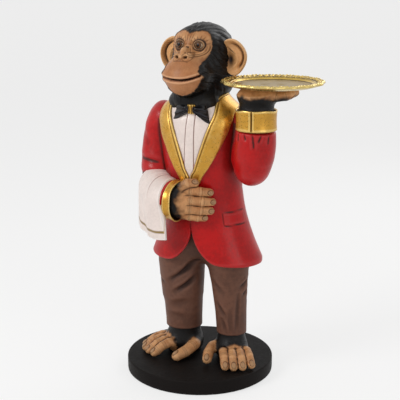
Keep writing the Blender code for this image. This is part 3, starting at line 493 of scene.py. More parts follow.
def aged_paint_group():
    """Paint rubbed with a dark wash: the wash stays in the hollows and drawn lines, and also lays the
    painted shade that some pieces carry in their line mask; the ridges get a painted highlight, partly
    rubbed wear; and the coat of paint is mottled."""
    inputs = {"Vector": "v", "Paint": "c", "Wash And Shade": "c", "Highlight And Wear": "c"}
    inputs |= {"Hollow": "f", "Line": "f", "Mottle": "f", "Scale": "f", "Sheen": "f"}
    group, given, out = new_group("aged_paint", inputs, {"Colour": "c", "Roughness": "f", "Height": "f"})
    cloud = noise(group, given["Vector"], given["Scale"])
    fine = noise(group, given["Vector"], math_node(group, "MULTIPLY", given["Scale"], 9.0), 2.0)
    shade = math_node(group, "MULTIPLY_ADD", cloud, 0.6, math_node(group, "MULTIPLY", fine, 0.4))
    dark = mix(group, 1.0, given["Paint"], (0.62, 0.6, 0.6, 1), "MULTIPLY")
    tone = math_node(group, "MULTIPLY", spread(group, shade, 0.62, 0.36), given["Mottle"])
    painted = mix(group, tone, given["Paint"], dark)
    # Painted highlight: the ridges are drawn towards the highlight colour, partly as rubbed wear.
    ridge = spread(group, given["Hollow"], -0.1, -0.9, 0.0, 0.5)
    painted = mix(group, ridge, painted, given["Highlight And Wear"])
    rubbed = math_node(group, "MULTIPLY_ADD", fine, 0.35, given["Hollow"])
    pool = spread(group, rubbed, 0.42, 1.05, 0.0, 0.85)
    # The line mask also carries painted shade between parts, laid here in the wash colour.
    darkening = math_node(group, "MAXIMUM", pool, given["Line"], clamp=True)
    group.links.new(mix(group, darkening, painted, given["Wash And Shade"]), out.inputs["Colour"])
    rough = math_node(group, "MULTIPLY_ADD", math_node(group, "SUBTRACT", fine, 0.5), 0.25, given["Sheen"])
    rough = math_node(group, "MULTIPLY_ADD", darkening, 0.2, rough, clamp=True)
    group.links.new(rough, out.inputs["Roughness"])
    group.links.new(math_node(group, "MULTIPLY_ADD", cloud, 0.5, fine), out.inputs["Height"])
    return group


def strands_group():
    """Carved fur: noise drawn out along the strands, in two widths."""
    group, given, out = new_group("carved_strands", {"Vector": "v", "Scale": "f"}, {"Height": "f"})
    wide = noise(group, given["Vector"], given["Scale"], 2.0)
    thin = noise(group, given["Vector"], math_node(group, "MULTIPLY", given["Scale"], 2.6), 2.0)
    group.links.new(math_node(group, "MULTIPLY_ADD", wide, 1.4, thin), out.inputs["Height"])
    return group


MADE = {}


def once(make):
    """What a function makes, kept from its first call."""
    if make.__name__ not in MADE:
        MADE[make.__name__] = make()
    return MADE[make.__name__]


def group_node(tree, make, links):
    """Places a shared group, which is built the first time."""
    node = tree.nodes.new("ShaderNodeGroup")
    node.node_tree = once(make)
    for key, value in links.items():
        if isinstance(value, NodeSocket):
            tree.links.new(value, node.inputs[key])
        else:
            node.inputs[key].default_value = value
    return node.outputs


def new_material(name):
    """A material with nodes, its shader, its Object coordinates and a reader of attributes."""
    material = bpy.data.materials.new(name)
    material.use_nodes = True
    tree = material.node_tree
    shader = tree.nodes["Principled BSDF"]
    place = tree.nodes.new("ShaderNodeTexCoord").outputs["Object"]

    def attribute(key, socket="Fac"):
        node = put(tree, "ShaderNodeAttribute", attribute_name=key)
        return node.outputs[socket]

    return material, tree, shader, place, attribute


def set_bump(tree, shader, height, strength, distance):
    links = {"Height": height, "Strength": strength, "Distance": distance}
    tree.links.new(put(tree, "ShaderNodeBump", links).outputs[0], shader.inputs["Normal"])


def opaque(values):
    return (*values, 1.0)


def painted(
    name, paint, glow, sheen, mottle=0.7, scale=14.0, coat=0.0, metallic=0.0, texture=0.12, specular=0.3
):
    """A coat of aged paint in one colour, with a painted highlight colour for the ridges, a dark line mask
    that also carries painted shade on some pieces, and a slight orange peel.
    """
    material, tree, shader, place, attribute = new_material(name)
    links = {
        "Vector": place,
        "Paint": opaque(paint),
        "Wash And Shade": opaque(settings().wash),
        "Highlight And Wear": opaque(glow),
        "Hollow": attribute("hollow"),
        "Line": attribute("line"),
        "Mottle": mottle,
        "Scale": scale,
        "Sheen": sheen,
    }
    out = group_node(tree, aged_paint_group, links)
    tree.links.new(out["Colour"], shader.inputs["Base Color"])
    tree.links.new(out["Roughness"], shader.inputs["Roughness"])
    shader.inputs["Coat Weight"].default_value = coat
    shader.inputs["Coat Roughness"].default_value = 0.18
    shader.inputs["Metallic"].default_value = metallic
    shader.inputs["Specular IOR Level"].default_value = specular
    set_bump(tree, shader, out["Height"], texture, 0.002)
    return material


def lighter(values, share):
    return tuple(c + (1 - c) * share for c in values)


def red_paint():
    red = settings().red
    # The slightly paler red is a painted highlight on the coat's ridges.
    return painted("red_paint", red, lighter(red, 0.03), 0.34, coat=0.08, specular=0.2)


def brown_paint():
    # The paler brown is a painted highlight on the ridges of the folds.
    return painted("brown_paint", settings().brown, srgb(0.5, 0.34, 0.27), 0.55, 0.9, 11.0)


def plinth_paint():
    # Painted highlight, partly wear, on the plinth's rounded edge.
    worn = srgb(0.12, 0.105, 0.1)
    return painted("plinth_paint", settings().plinth, worn, 0.55, 0.8, 16.0, specular=0.06)


def satin_paint():
    # The bluish grey is a painted satin sheen on the bow's ridges.
    return painted("black_satin_paint", settings().satin, srgb(0.2, 0.19, 0.24), 0.3, coat=0.08)


def ear_paint():
    # The pale tan is a painted highlight on the ears' rolled rims.
    return painted("ear_paint", settings().ear, srgb(0.96, 0.8, 0.6), 0.42, 0.5, 30.0)


def gold_leaf():
    """Antique gold: bright leaf on the ridges, lightened there as a painted highlight, over a brown ground
    that shows in the hollows.
    """
    # Painted highlight: the bright colour laid on the ridges.
    leaf_and_highlight = srgb(0.97, 0.86, 0.55)
    return painted("gold_paint", settings().gold, leaf_and_highlight, 0.3, 0.45, 16.0, metallic=0.65)


def tray_plating():
    """Bright plating over the whole tray with a painted highlight on the relief's ridges, stained in the
    rim's recesses and darker on the well.
    """
    # Painted highlight on the ridges of the rim's relief.
    bright = srgb(0.98, 0.9, 0.62)
    plating = settings().tray_gold
    return painted(
        "tray_gold", plating, bright, 0.22, 0.5, 40.0, metallic=0.85, texture=0.08, specular=0.1
    )


def creature_paint():
    """Fur and bare skin in one casting: masks say where the skin, lips, lids and nails are."""
    material, tree, shader, place, attribute = new_material("fur_and_skin_paint")
    s = settings()
    patches = noise(tree, place, 38.0)
    ruddy = opaque(np.array(s.skin) * (0.72, 0.6, 0.52))
    skin = mix(tree, spread(tree, patches, 0.35, 0.68), opaque(s.skin), ruddy)
    skin = mix(tree, attribute("muzzle"), skin, opaque(np.array(s.skin) * (0.74, 0.62, 0.6)))
    skin = mix(tree, attribute("lip"), skin, opaque(srgb(0.83, 0.58, 0.5)))
    skin = mix(tree, attribute("lid"), skin, opaque(srgb(0.38, 0.3, 0.25)))
    skin = mix(tree, attribute("nail"), skin, opaque(srgb(0.34, 0.25, 0.21)))
    bare = attribute("skin")
    paint = mix(tree, bare, opaque(s.fur), skin)
    # Painted highlight on the ridges: dark grey on the fur and pale tan on the skin.
    glow = mix(tree, bare, opaque(lighter(s.fur, 0.022)), opaque(srgb(0.88, 0.69, 0.5)))
    # The wash colour also paints the shade between the digits.
    wash = mix(tree, bare, opaque(np.array(s.fur) * 0.4), opaque(srgb(0.13, 0.075, 0.055)))
    links = {
        "Vector": place,
        "Paint": paint,
        "Wash And Shade": wash,
        "Highlight And Wear": glow,
        "Hollow": attribute("hollow"),
        "Line": attribute("line"),
        "Mottle": 0.5,
        "Scale": 30.0,
        "Sheen": 0.4,
    }
    out = group_node(tree, aged_paint_group, links)
    tree.links.new(out["Colour"], shader.inputs["Base Color"])
    tree.links.new(out["Roughness"], shader.inputs["Roughness"])
    shader.inputs["Coat Weight"].default_value = 0.05
    shader.inputs["Coat Roughness"].default_value = 0.25
    shader.inputs["Specular IOR Level"].default_value = 0.15
    strand = group_node(tree, strands_group, {"Vector": attribute("strand", "Vector"), "Scale": 1.0})
    fur_height = math_node(tree, "MULTIPLY", strand["Height"], math_node(tree, "SUBTRACT", 1.0, bare))
    height = math_node(tree, "MULTIPLY_ADD", out["Height"], 0.25, fur_height)
    set_bump(tree, shader, height, 0.35, 0.0015)
    return material


def eye_glass():
    """Pupil, flecked iris with a dark rim, and a shaded white, by the angle from the gaze."""
    material, tree, shader, place, attribute = new_material("eye_glass")
    look = attribute("look")
    fleck = noise(tree, place, 900.0, 2.0)
    iris = mix(tree, fleck, opaque(srgb(0.3, 0.17, 0.09)), opaque(srgb(0.45, 0.28, 0.15)))
    rim = mix(tree, spread(tree, look, 0.48, 0.62), iris, opaque(srgb(0.07, 0.04, 0.03)))
    ball_colour = mix(tree, spread(tree, look, 0.62, 0.68), rim, opaque(srgb(0.68, 0.58, 0.47)))
    colour_out = mix(tree, spread(tree, look, 0.35, 0.31), ball_colour, (0.002, 0.002, 0.002, 1))
    tree.links.new(colour_out, shader.inputs["Base Color"])
    shader.inputs["Roughness"].default_value = 0.08
    shader.inputs["Specular IOR Level"].default_value = 0.25
    return material


def linen_paint():
    """White paint with a gold band where the trim mask says, toned with brown in the folds, with a painted
    highlight on their ridges.
    """
    s = settings()
    material, tree, shader, place, attribute = new_material("white_paint")
    trim = attribute("trim")
    links = {
        "Vector": place,
        "Paint": mix(tree, trim, opaque(s.white), opaque(srgb(0.55, 0.45, 0.22))),
        "Wash And Shade": opaque(srgb(0.5, 0.29, 0.24)),
        # Painted highlight on the ridges of the folds, white and gold.
        "Highlight And Wear": mix(tree, trim, opaque(srgb(0.98, 0.95, 0.93)), opaque(srgb(0.9, 0.75, 0.4))),
        "Hollow": attribute("hollow"),
        "Line": attribute("line"),
        "Mottle": 0.25,
        "Scale": 18.0,
        "Sheen": 0.45,
    }
    out = group_node(tree, aged_paint_group, links)
    tree.links.new(out["Colour"], shader.inputs["Base Color"])
    tree.links.new(out["Roughness"], shader.inputs["Roughness"])
    shader.inputs["Coat Weight"].default_value = 0.15
    set_bump(tree, shader, out["Height"], 0.1, 0.002)
    return material


def carried_over(name, base, sheen, metallic, scale, *nodes):
    """A procedural finish for CAD nodes that stay as they are: bolts, rod and felt."""
    material, tree, shader, place, _ = new_material(name)
    grain = noise(tree, place, scale, 4.0)
    tone = mix(tree, grain, opaque(np.array(base) * 0.75), opaque(base))
    tree.links.new(tone, shader.inputs["Base Color"])
    tree.links.new(spread(tree, grain, 0.2, 0.8, sheen - 0.08, sheen + 0.08), shader.inputs["Roughness"])
    shader.inputs["Metallic"].default_value = metallic
    set_bump(tree, shader, grain, 0.2, 0.0004)
    for node in nodes:
        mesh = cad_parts[node].data
        mesh.materials.clear()
        mesh.materials.append(material)


# Coat and collar

CLOSING_TURN = math.radians(-1.5)
CUTAWAY_TURN = math.radians(24)
CUTAWAY_POWER = 2.7
RIGHT_HEM_DROP = 0.011
FLAP_TURNS = np.radians((45.0, 88.5))
FLAP_HEIGHTS = (0.4192, 0.4505)
SEAM_TURN = math.radians(118)
# Creases at the back: turn and height of both ends, and depth
COAT_CREASES = (
    (2.6, 0.47, 1.9, 0.505, 0.0016), (-2.6, 0.47, -1.9, 0.505, 0.0016),
    (2.75, 0.64, 2.1, 0.66, 0.0014), (-2.75, 0.64, -2.1, 0.66, 0.0014),
)


def coat_section(height):
    """Middle, half width and half depth of the coat at heights, read from its stations."""
    wide, deep, forwards = read_table(COAT_STATIONS, height)
    hem = COAT_STATIONS[0][0]
    share = np.clip((height - hem) / (AXIS_STRAIGHT_ABOVE - hem), 0, 1)
    x, y = (a + (b - a) * share for a, b in zip(COAT_AXIS_HEM, COAT_AXIS_CHEST))
    return x, y - forwards, wide, deep


def coat_point(turn, height, out=0.0):
    """A point of the coat: the middle, plus the half width times the turn's sine sideways and the
    half depth times its cosine forwards, moved out along the oval's normal."""
    turn, height, out = np.broadcast_arrays(turn, height, out)
    x, y, wide, deep = coat_section(height)
    normal = unit(np.stack([np.sin(turn) / wide, -np.cos(turn) / deep], -1))
    oval = np.stack([x + wide * np.sin(turn), y - deep * np.cos(turn)], -1)
    return np.concatenate([oval + normal * out[..., None], height[..., None]], -1)


def coat_gap(points):
    """About how far points lie outside the coat's oval at their own height."""
    x, y, wide, deep = coat_section(points[..., 2])
    q = np.stack([(points[..., 0] - x) / wide, (points[..., 1] - y) / deep], -1)
    near = np.linalg.norm(q, axis=-1)
    return (near - 1) * np.minimum(wide, deep)


def hem_line(turn):
    """The coat's lower edge: the hem falls to the figure's left and hangs lower at the front of
    the right, and in front it rises as one less a root of the turn from the closing, with the
    corner rounded."""
    hem = COAT_STATIONS[0][0] + HEM_TILT * COAT_STATIONS[0][1] * np.sin(turn)
    hem = hem - RIGHT_HEM_DROP * bump(turn + 0.85, 0.6)
    away = np.abs(turn - CLOSING_TURN) / CUTAWAY_TURN
    rise = 1 - away ** (1 / CUTAWAY_POWER)
    rise = 0.5 * (rise + np.sqrt(rise**2 + 0.012))
    return hem + (CUTAWAY_TOP - hem) * np.where(np.cos(turn) > 0, rise, 0.0)


def flap_distance(turn, height):
    """Distance inside the outline of a pocket's flap, about in metres, positive inside."""
    middle = FLAP_TURNS.mean()
    half = (FLAP_TURNS[1] - FLAP_TURNS[0]) / 2
    sideways = (half - np.abs(np.abs(turn) - middle)) * 0.105
    mid = sum(FLAP_HEIGHTS) / 2 + 0.002 * (np.abs(turn) - middle)
    return np.minimum(sideways, (FLAP_HEIGHTS[1] - FLAP_HEIGHTS[0]) / 2 - np.abs(height - mid))


def lapel_turn(table, height):
    """The turn of a lapel's edge at a height, in radians from the opening's middle."""
    keys = sorted((h, t) for t, h in table[1:9])
    return np.radians(np.interp(height, *zip(*keys)))


def coat_relief(turn, height):
    """How far the cloth stands out: a sunk panel behind the shirt, the skirt's flutes and its
    flare on the right, the flaps, the overlap, the seams and the creases of the back. With it,
    the mask of dark lines."""
    from_middle = turn - math.radians(LAPEL_SKEW)
    depth = settings().fold_depth
    bare = lapel_turn(LAPEL_INNER, height) - 0.03
    sunk = smoothstep(0.0, 0.03, bare - np.abs(from_middle)) * (height > 0.535)
    out = -0.013 * sunk
    flutes = np.cos(5.0 * turn + 0.8) * 0.6 + np.cos(8.0 * turn - 1.0) * 0.3
    out = out + 0.45 * depth * flutes * smoothstep(0.43, 0.33, height) * smoothstep(0.5, 1.2, np.abs(turn))
    out = out + 0.012 * bump(turn + 1.25, 0.55) * smoothstep(0.42, 0.325, height)
    inside = flap_distance(turn, height)
    out = out + 0.0016 * smoothstep(-0.0002, 0.0012, inside) - 0.0008 * bump(inside, 0.0012)
    lines = 0.9 * bump(inside + 0.0004, 0.001)
    closed = (height < 0.505) * smoothstep(0.0, 0.004, height - hem_line(turn))
    gap = (turn - CLOSING_TURN) * 0.09
    out = out + 0.0014 * smoothstep(-0.0006, 0.0006, gap) * bump(gap, 0.02) * closed * (np.cos(turn) > 0)
    lines = np.maximum(lines, 0.9 * bump(gap, 0.001) * closed * (np.cos(turn) > 0))
    back = (math.pi - np.abs(turn)) * 0.09
    vent = smoothstep(0.715, 0.7, height)
    out = out - 0.0009 * bump(back, 0.0013) * vent
    lines = np.maximum(lines, 0.7 * bump(back, 0.0009) * vent)
    seams = (np.abs(np.abs(turn) - SEAM_TURN) - 0.12 * bump(height - 0.47, 0.12)) * 0.1
    out = out - 0.0006 * bump(seams, 0.0013) * vent
    lines = np.maximum(lines, 0.55 * bump(seams, 0.0008) * vent)
    for t0, h0, t1, h1, deep in COAT_CREASES:
        out = out - deep * crease(turn * 0.1, height, (t0 * 0.1, h0), (t1 * 0.1, h1))
    return out, lines


def crease(x, y, start, end, width=0.0075):
    """A fold along a flat segment: a groove with a softer ridge beside it, from 1 to about -0.35."""
    ax, ay = end[0] - start[0], end[1] - start[1]
    size = math.hypot(ax, ay)
    along = ((x - start[0]) * ax + (y - start[1]) * ay) / size**2
    off = ((x - start[0]) * ay - (y - start[1]) * ax) / size
    ends = smoothstep(-0.25, 0.2, along) * smoothstep(1.25, 0.8, along)
    return (bump(off, width) - 0.35 * bump(off - 1.7 * width, width * 1.3)) * ends


def build_coat():
    """A sheet over (turn, height) from the neck to the hem, rolled under and back up inside."""
    turn = full_turn(400) - math.pi
    turn = turn - 0.72 * np.sin(turn)
    low = hem_line(turn)
    top = COAT_STATIONS[-1][0]
    down = np.linspace(0, 1, 170)[:, None]
    height = top + (low + 0.0022 - top) * down
    turns = np.broadcast_to(turn, height.shape)
    out, lines = coat_relief(turns, height)
    out = out + 0.0007 * ripple(coat_point(turns, height), 22.0)
    outer = coat_point(turns, height, out)
    edge = out[-1]
    rows = [outer]
    masks = [lines]
    wall = SKIRT_WALL
    for rise, inwards in ((0.0006, 0.0003), (0.0, 0.0016), (0.0, wall - 0.0016), (0.0015, wall)):
        rows.append(coat_point(turn, low + rise, edge - inwards)[None])
        masks.append(np.zeros((1, len(turn))))
    inner_top = CUTAWAY_TOP + 0.012
    for share in np.linspace(0.08, 1, 14):
        rise = low + 0.0015 + (inner_top - low) * share
        rows.append(coat_point(turn, rise, -SKIRT_WALL - 0.004 * share)[None])
        masks.append(np.zeros((1, len(turn))))
    grid = np.concatenate(rows)
    lines = np.concatenate(masks)
    points, faces = closed_grid(grid)
    near = np.full(len(points), 9.0)
    for keys in SLEEVES.values():
        near = np.minimum(near, np.abs(limb(points, smooth_path(keys, 14))[0]))
    # Painted shade: dark where the sleeves meet the coat, and softer painted shade spread under the arms.
    joint = np.maximum(0.85 * bump(near, 0.0028), 0.5 * bump(near, 0.02))
    lines = np.concatenate([lines.ravel(), (0.0, 0.0)])
    masks = {"line": np.maximum(lines, joint)}
    dress("coat", points, faces, once(red_paint), ["jacket"], masks)


def build_lapel(name, side):
    """Half of the shawl collar: a section with a piped inner edge and a rolled outer one, carried
    along both edge curves over the coat."""
    rows = 230
    inner = smooth_path(LAPEL_INNER, rows)
    outer = smooth_path(LAPEL_OUTER, rows)
    share = np.concatenate([(1 - np.cos(np.linspace(0, math.pi, 44))) / 2, np.linspace(1, 0, 12)])
    is_top = np.arange(len(share)) < 44
    thick = settings().lapel_thickness
    edge = np.sqrt(np.clip(1 - np.abs(2 * share - 1) ** 9, 0, 1))
    across = np.linalg.norm((outer - inner) * (0.0018, 1.0), axis=1)[:, None] * share
    piping = 0.0016 * bump(across - 0.0024, 0.0019) - 0.001 * bump(across - 0.0062, 0.0018)
    crown = 0.0022 * np.sin(math.pi * share) ** 0.8
    out = np.where(is_top, thick * edge + piping + crown, -0.0045)
    path = inner[:, None] + (outer - inner)[:, None] * share[:, None]
    turn = np.radians(np.clip(path[..., 0], 0.15, 179.9) * side + LAPEL_SKEW)
    out = out + np.where(is_top, 0.0005 * ripple(coat_point(turn, path[..., 1]), 45.0), 0)
    closing = round_off(rows, 0.03, end=False)[:, None]
    out = np.where(is_top, out * closing, out)
    grid = coat_point(turn, path[..., 1], out)
    lines = np.where(is_top, 0.9 * bump(across - 0.0066, 0.001) + 0.7 * bump(share, 0.02), 0.8)
    lines = np.maximum(lines, np.where(is_top, 0.75 * bump(1 - share, 0.025), 0))
    points, faces = closed_grid(grid)
    masks = {"line": lines.ravel()}
    dress(name + "_collar", points, faces, once(gold_leaf), [name + "_lapel"], masks)


PLACKET_HEIGHTS = (0.58, 0.7)


def build_shirt():
    """A slab on the coat's oval, behind the collar: half its turn follows the collar's edge, and
    the placket stands proud between two grooves."""
    height = np.linspace(0.528, 0.742, 150)[:, None]
    half = np.minimum(lapel_turn(LAPEL_INNER, height) + 0.07, math.radians(46))
    share = np.concatenate([np.linspace(-1, 1, 120), np.linspace(1, -1, 10)])
    front = np.arange(130) < 120
    turn = math.radians(LAPEL_SKEW) + half * share
    _, _, wide, _ = coat_section(height)
    across = wide * np.sin(turn)
    left = np.interp(height, PLACKET_HEIGHTS, (-0.0104, -0.0029))
    right = np.interp(height, PLACKET_HEIGHTS, (0.0156, 0.0175))
    placket = smoothstep(left, left + 0.0016, across) * smoothstep(right, right - 0.0016, across)
    grooves = np.maximum(bump(across - left, 0.0011), bump(across - right, 0.0011))
    weave = ripple(np.stack(np.broadcast_arrays(across, height, 0.0), -1), 60.0)
    out = settings().shirt_lift + 0.0011 * placket - 0.0014 * grooves + 0.0004 * weave
    out = np.where(front, out, -0.011)
    grid = coat_point(turn, np.broadcast_to(height, turn.shape), out)
    points, faces = closed_grid(grid)
    edge = bump(half - np.abs(turn - math.radians(LAPEL_SKEW)) - 0.075, 0.012)
    lines = np.where(front, np.maximum(0.85 * grooves, 0.6 * edge), 0).ravel()
    masks = {"line": lines, "trim": np.zeros(lines.size)}
    dress("shirt", points, faces, once(linen_paint), ["shirt_front"], masks)


KNOT = (0.0165, -0.085, 0.715)


def build_bow_knot():
    """A barrel: rings whose radii bulge at both rims, gathered into ridges across it."""
    share = np.linspace(-1, 1, 60)[:, None]
    turn = full_turn(120)
    grow = 0.9 + 0.1 * np.abs(share) ** 1.5
    grow = grow * np.sqrt(np.clip(1 - np.abs(share) ** 12, 0.02, 1))
    folds = 1 + 0.07 * np.cos(9 * turn + 0.6 * np.sin(2.4 * share)) * (1 - 0.4 * share**2)
    x = KNOT[0] + 0.0108 * grow * folds * np.sin(turn)
    y = KNOT[1] - 0.0085 * grow * folds * np.cos(turn)
    z = KNOT[2] + 0.0122 * share + 0 * turn
    points, faces = closed_grid(np.stack([x, y, z], -1))
    lines = 0.8 * smoothstep(1.045, 0.935, folds) * np.ones_like(z)
    masks = {"line": lines.ravel()}
    dress("bow_knot", points, faces, once(gold_leaf), ["bow_tie_knot"], masks)


def build_bow_wing(name, side):
    """A gathered wing: flat ovals that grow and drop from the knot to a cut end, with folds that
    fan out from the knot. The figure's right one reaches further and the left one drops more."""
    share = np.linspace(0, 1, 90)[:, None]
    turn = full_turn(160)
    reach, drop = (0.048, 0.0115) if side < 0 else (0.043, 0.016)
    half = 0.0095 + 0.0145 * smoothstep(0.0, 0.9, share) - 0.0012 * smoothstep(0.9, 1.0, share)
    deep = (0.0072 + 0.001 * np.sin(math.pi * share)) * round_off(90, 0.06, start=False)[:, None]
    rise = np.sin(turn)
    fold = 0.002 * np.cos(math.pi * 3.2 * rise + 0.5) * smoothstep(0.02, 0.35, share)
    fold = fold + 0.0012 * np.cos(math.pi * 5.5 * rise) * bump(share - 0.1, 0.22)
    x = KNOT[0] + side * (0.006 + (reach - 0.006) * share - 0.007 * share * rise)
    y = KNOT[1] - 0.002 + 0.012 * share**1.6 - (deep * np.cos(turn) + np.where(np.cos(turn) > 0, fold, 0))
    z = KNOT[2] - drop * share + half * rise
    points, faces = closed_grid(np.stack(np.broadcast_arrays(x, y, z), -1))
    masks = {"line": np.zeros(len(points))}
    node = f"bow_tie_{name}_wing"
    dress("bow_wing_" + name, points, faces, once(satin_paint), [node], masks)


# Head


def in_head(points):
    """Points of the head's own frame, in the figure's frame."""
    turn = settings().head_turn
    sideways = (math.cos(turn), -math.sin(turn), 0.0)
    forwards = (-math.sin(turn), -math.cos(turn), 0.0)
    axes = np.array((sideways, forwards, (0.0, 0.0, 1.0)))
    return np.array(settings().head_centre) + np.asarray(points, float) @ axes


EYE = np.array((0.0265, 0.06, 0.0255))
GAZE = unit((-0.02, 1.0, 0.02))


def mirrored(points):
    return np.concatenate([np.abs(points[..., :1]), points[..., 1:]], -1)


def mouth_height(across):
    """The line between the lips: a shallow parabola that rises more to the figure's left."""
    return -0.0556 + (3.1 + 1.5 * np.tanh(across / 0.02)) * across**2


def eye_frame(q):
    """Sideways and upwards distance of points from the eye, over the mirrored head."""
    return q[..., 0] - EYE[0], q[..., 2] - EYE[2]


def lid_opening(q):
    """Distance inside the almond between the lids, in shares of its half height."""
    a, b = eye_frame(q)
    tall = 0.0076 * np.sqrt(np.clip(1 - (a / 0.0122) ** 2, 0, 1)) + 1e-5
    return 1 - np.abs(b + 0.0004) / tall


def skull(q):
    """The head's large forms, blended: cranium, brow, face, muzzle, chin, cheeks, throat, beard,
    nape and neck."""
    shape = ball(q, (0.0, -0.012, 0.0055), (0.074, 0.083, 0.069))
    lumps = (
        ((0.0, 0.036, 0.036), (0.053, 0.032, 0.024), 0.018),
        ((0.0, 0.04, 0.004), (0.047, 0.036, 0.04), 0.018),
        ((0.0, 0.079, -0.046), (0.062, 0.054, 0.039), 0.02),
        ((0.0, 0.078, -0.018), (0.036, 0.036, 0.026), 0.02),
        ((0.0, 0.068, -0.072), (0.046, 0.052, 0.031), 0.02),
        ((0.0, 0.022, -0.036), (0.07, 0.052, 0.046), 0.022),
        ((0.0, -0.002, -0.082), (0.06, 0.062, 0.07), 0.022),
        ((0.0, 0.03, -0.104), (0.046, 0.045, 0.044), 0.022),
        ((0.01, 0.04, -0.116), (0.058, 0.043, 0.034), 0.012),
        ((0.0, -0.014, -0.062), (0.083, 0.072, 0.052), 0.022),
    )
    for centre, half, width in lumps:
        shape = blend(shape, ball(q, centre, half), width)
    column = np.linalg.norm(q[..., :2] - np.array((0.0, 0.002)), axis=-1) - 0.055
    shape = blend(shape, np.maximum(column, q[..., 2] + 0.06), 0.022)
    return np.maximum(shape, -0.147 - q[..., 2])


def face_form(points):
    """The skull with its eye sockets, lids, nose, nostrils, mouth and lips."""
    q = mirrored(points)
    a, b = eye_frame(q)
    shape = skull(q)
    shape = carve(shape, ball(q, EYE + (0.001, 0.0185, 0.0), (0.0175, 0.015, 0.015)), 0.01)
    shape = blend(shape, ball(q, EYE, np.full(3, 0.0146)), 0.004)
    for centre, half in (
        ((0.0, 0.092, 0.006), (0.0085, 0.016, 0.016)),
        ((0.0, 0.107, -0.0005), (0.009, 0.01, 0.0078)),
        ((0.0145, 0.099, -0.001), (0.0105, 0.0115, 0.0085)),
    ):
        shape = blend(shape, ball(q, centre, half), 0.006)
    shape = carve(shape, ball(q, (0.0112, 0.113, -0.0015), (0.0052, 0.0095, 0.0036)), 0.003)
    across = points[..., 0]
    over = q[..., 2] - mouth_height(across)
    reach = smoothstep(0.064, 0.05, q[..., 0]) * smoothstep(0.05, 0.075, q[..., 1])
    lips = 0.0028 * bump(over - 0.0062, 0.0042) + 0.0024 * bump(over + 0.007, 0.0042)
    shape = shape - lips * reach
    slit = np.maximum(np.abs(over) - 0.0019 * reach - 0.0002, 0.0)
    corner = smoothstep(0.054, 0.047, q[..., 0]) * smoothstep(0.05, 0.075, q[..., 1])
    shape = shape + 0.0095 * bump(slit, 0.0012) * corner
    bag = np.hypot(a / 1.15, b + 0.006)
    lower = smoothstep(0.002, -0.006, b) * smoothstep(0.02, 0.04, q[..., 1])
    shape = shape - 0.001 * (bump(bag - 0.0135, 0.0014) + bump(bag - 0.0175, 0.0016)) * lower
    opening = lid_opening(q)
    open_front = smoothstep(-0.05, 0.12, opening) * (q[..., 1] > EYE[1])
    ball_floor = np.linalg.norm(q - EYE, axis=-1) - (settings().eye_radius - 0.0012)
    near_eye = np.linalg.norm(q - EYE, axis=-1) < 0.022
    sunk = np.maximum(shape, ball_floor)
    return np.where(near_eye, shape + (sunk - shape) * open_front, shape)


def march(start, directions, distance, reach=0.26, steps=70):
    """How far rays go before they leave a form, found from outside inwards: each step is a share
    of the distance that is left."""
    t = np.full(directions.shape[:-1], reach)
    for _ in range(steps):
        t = t - 0.62 * distance(start + directions * t[..., None])
    return t


def outline_distance(x, z, outline):
    """Distance of points from an outline mirrored in x, positive inside it: the nearest point of
    each edge, with the side counted by the edges crossed on the way right."""
    keys = np.array(outline)
    keys = np.concatenate([keys, (keys * (-1, 1))[-2:0:-1]])
    best = np.full(x.shape, 9.0)
    inside = np.zeros(x.shape, bool)
    for (ax, az), (bx, bz) in zip(keys, np.roll(keys, -1, axis=0)):
        dx, dz = bx - ax, bz - az
        t = np.clip(((x - ax) * dx + (z - az) * dz) / (dx * dx + dz * dz + 1e-12), 0, 1)
        best = np.minimum(best, np.hypot(x - ax - t * dx, z - az - t * dz))
        crosses = (az > z) != (bz > z)
        inside ^= crosses & (x < ax + dx * (z - az) / (dz if abs(dz) > 1e-9 else 1e-9))
    return np.where(inside, best, -best)


def face_lines(points):
    """Dark drawn lines of the face: round the lids, between the brows, at the eyes' corners,
    round the nose and between the lips."""
    q = mirrored(points)
    a, b = eye_frame(q)
    front = smoothstep(0.03, 0.05, q[..., 1])
    opening = lid_opening(q)
    ring = np.hypot(a, b * 1.15 + 0.0005)
    lines = 1.2 * bump(opening + 0.13, 0.25) * (ring < 0.016)
    aside = smoothstep(-0.018, -0.012, a)
    lines = np.maximum(lines, 1.1 * bump(ring - 0.0156, 0.0014) * aside)
    bag = np.hypot(a / 1.15, b + 0.006)
    lower = smoothstep(0.001, -0.006, b)
    for radius, level in ((0.0165, 0.6), (0.0205, 0.9)):
        lines = np.maximum(lines, level * bump(bag - radius, 0.0008) * lower * aside)
    angle = np.arctan2(b, a)
    rays = np.abs(np.sin(7.5 * angle + 0.6)) ** 14
    lines = np.maximum(lines, 0.75 * rays * bump(ring - 0.0205, 0.0045) * (b > -0.004))
    for offset, lean in ((0.0032, 0.1), (0.0085, 0.22)):
        tilt = q[..., 0] - offset - lean * (q[..., 2] - 0.038)
        lines = np.maximum(lines, 0.7 * bump(tilt, 0.0009) * bump(q[..., 2] - 0.042, 0.009))
    wing = np.hypot(q[..., 0] - 0.015, (q[..., 2] + 0.001) / 0.85)
    beside = (q[..., 1] > 0.075) * (q[..., 0] > 0.004)
    lines = np.maximum(lines, 0.6 * bump(wing - 0.0118, 0.001) * beside)
    nostril = np.hypot((q[..., 0] - 0.0112) / 1.5, q[..., 2] + 0.0017)
    lines = np.maximum(lines, 1.1 * bump(nostril, 0.003) * (q[..., 1] > 0.09))
    under = np.abs(q[..., 2] + 0.0105 + 6.0 * q[..., 0] ** 2)
    lines = np.maximum(lines, 0.55 * bump(under, 0.0009) * (q[..., 0] < 0.02) * (q[..., 1] > 0.08))
    over = q[..., 2] - mouth_height(points[..., 0])
    gap = 0.0016 * smoothstep(0.056, 0.02, q[..., 0])
    corner = smoothstep(0.0545, 0.05, q[..., 0]) * (q[..., 1] > 0.05)
    lines = np.maximum(lines, 1.1 * bump(np.maximum(np.abs(over) - gap, 0), 0.001) * corner)
    return np.clip(lines, 0, 1) * front


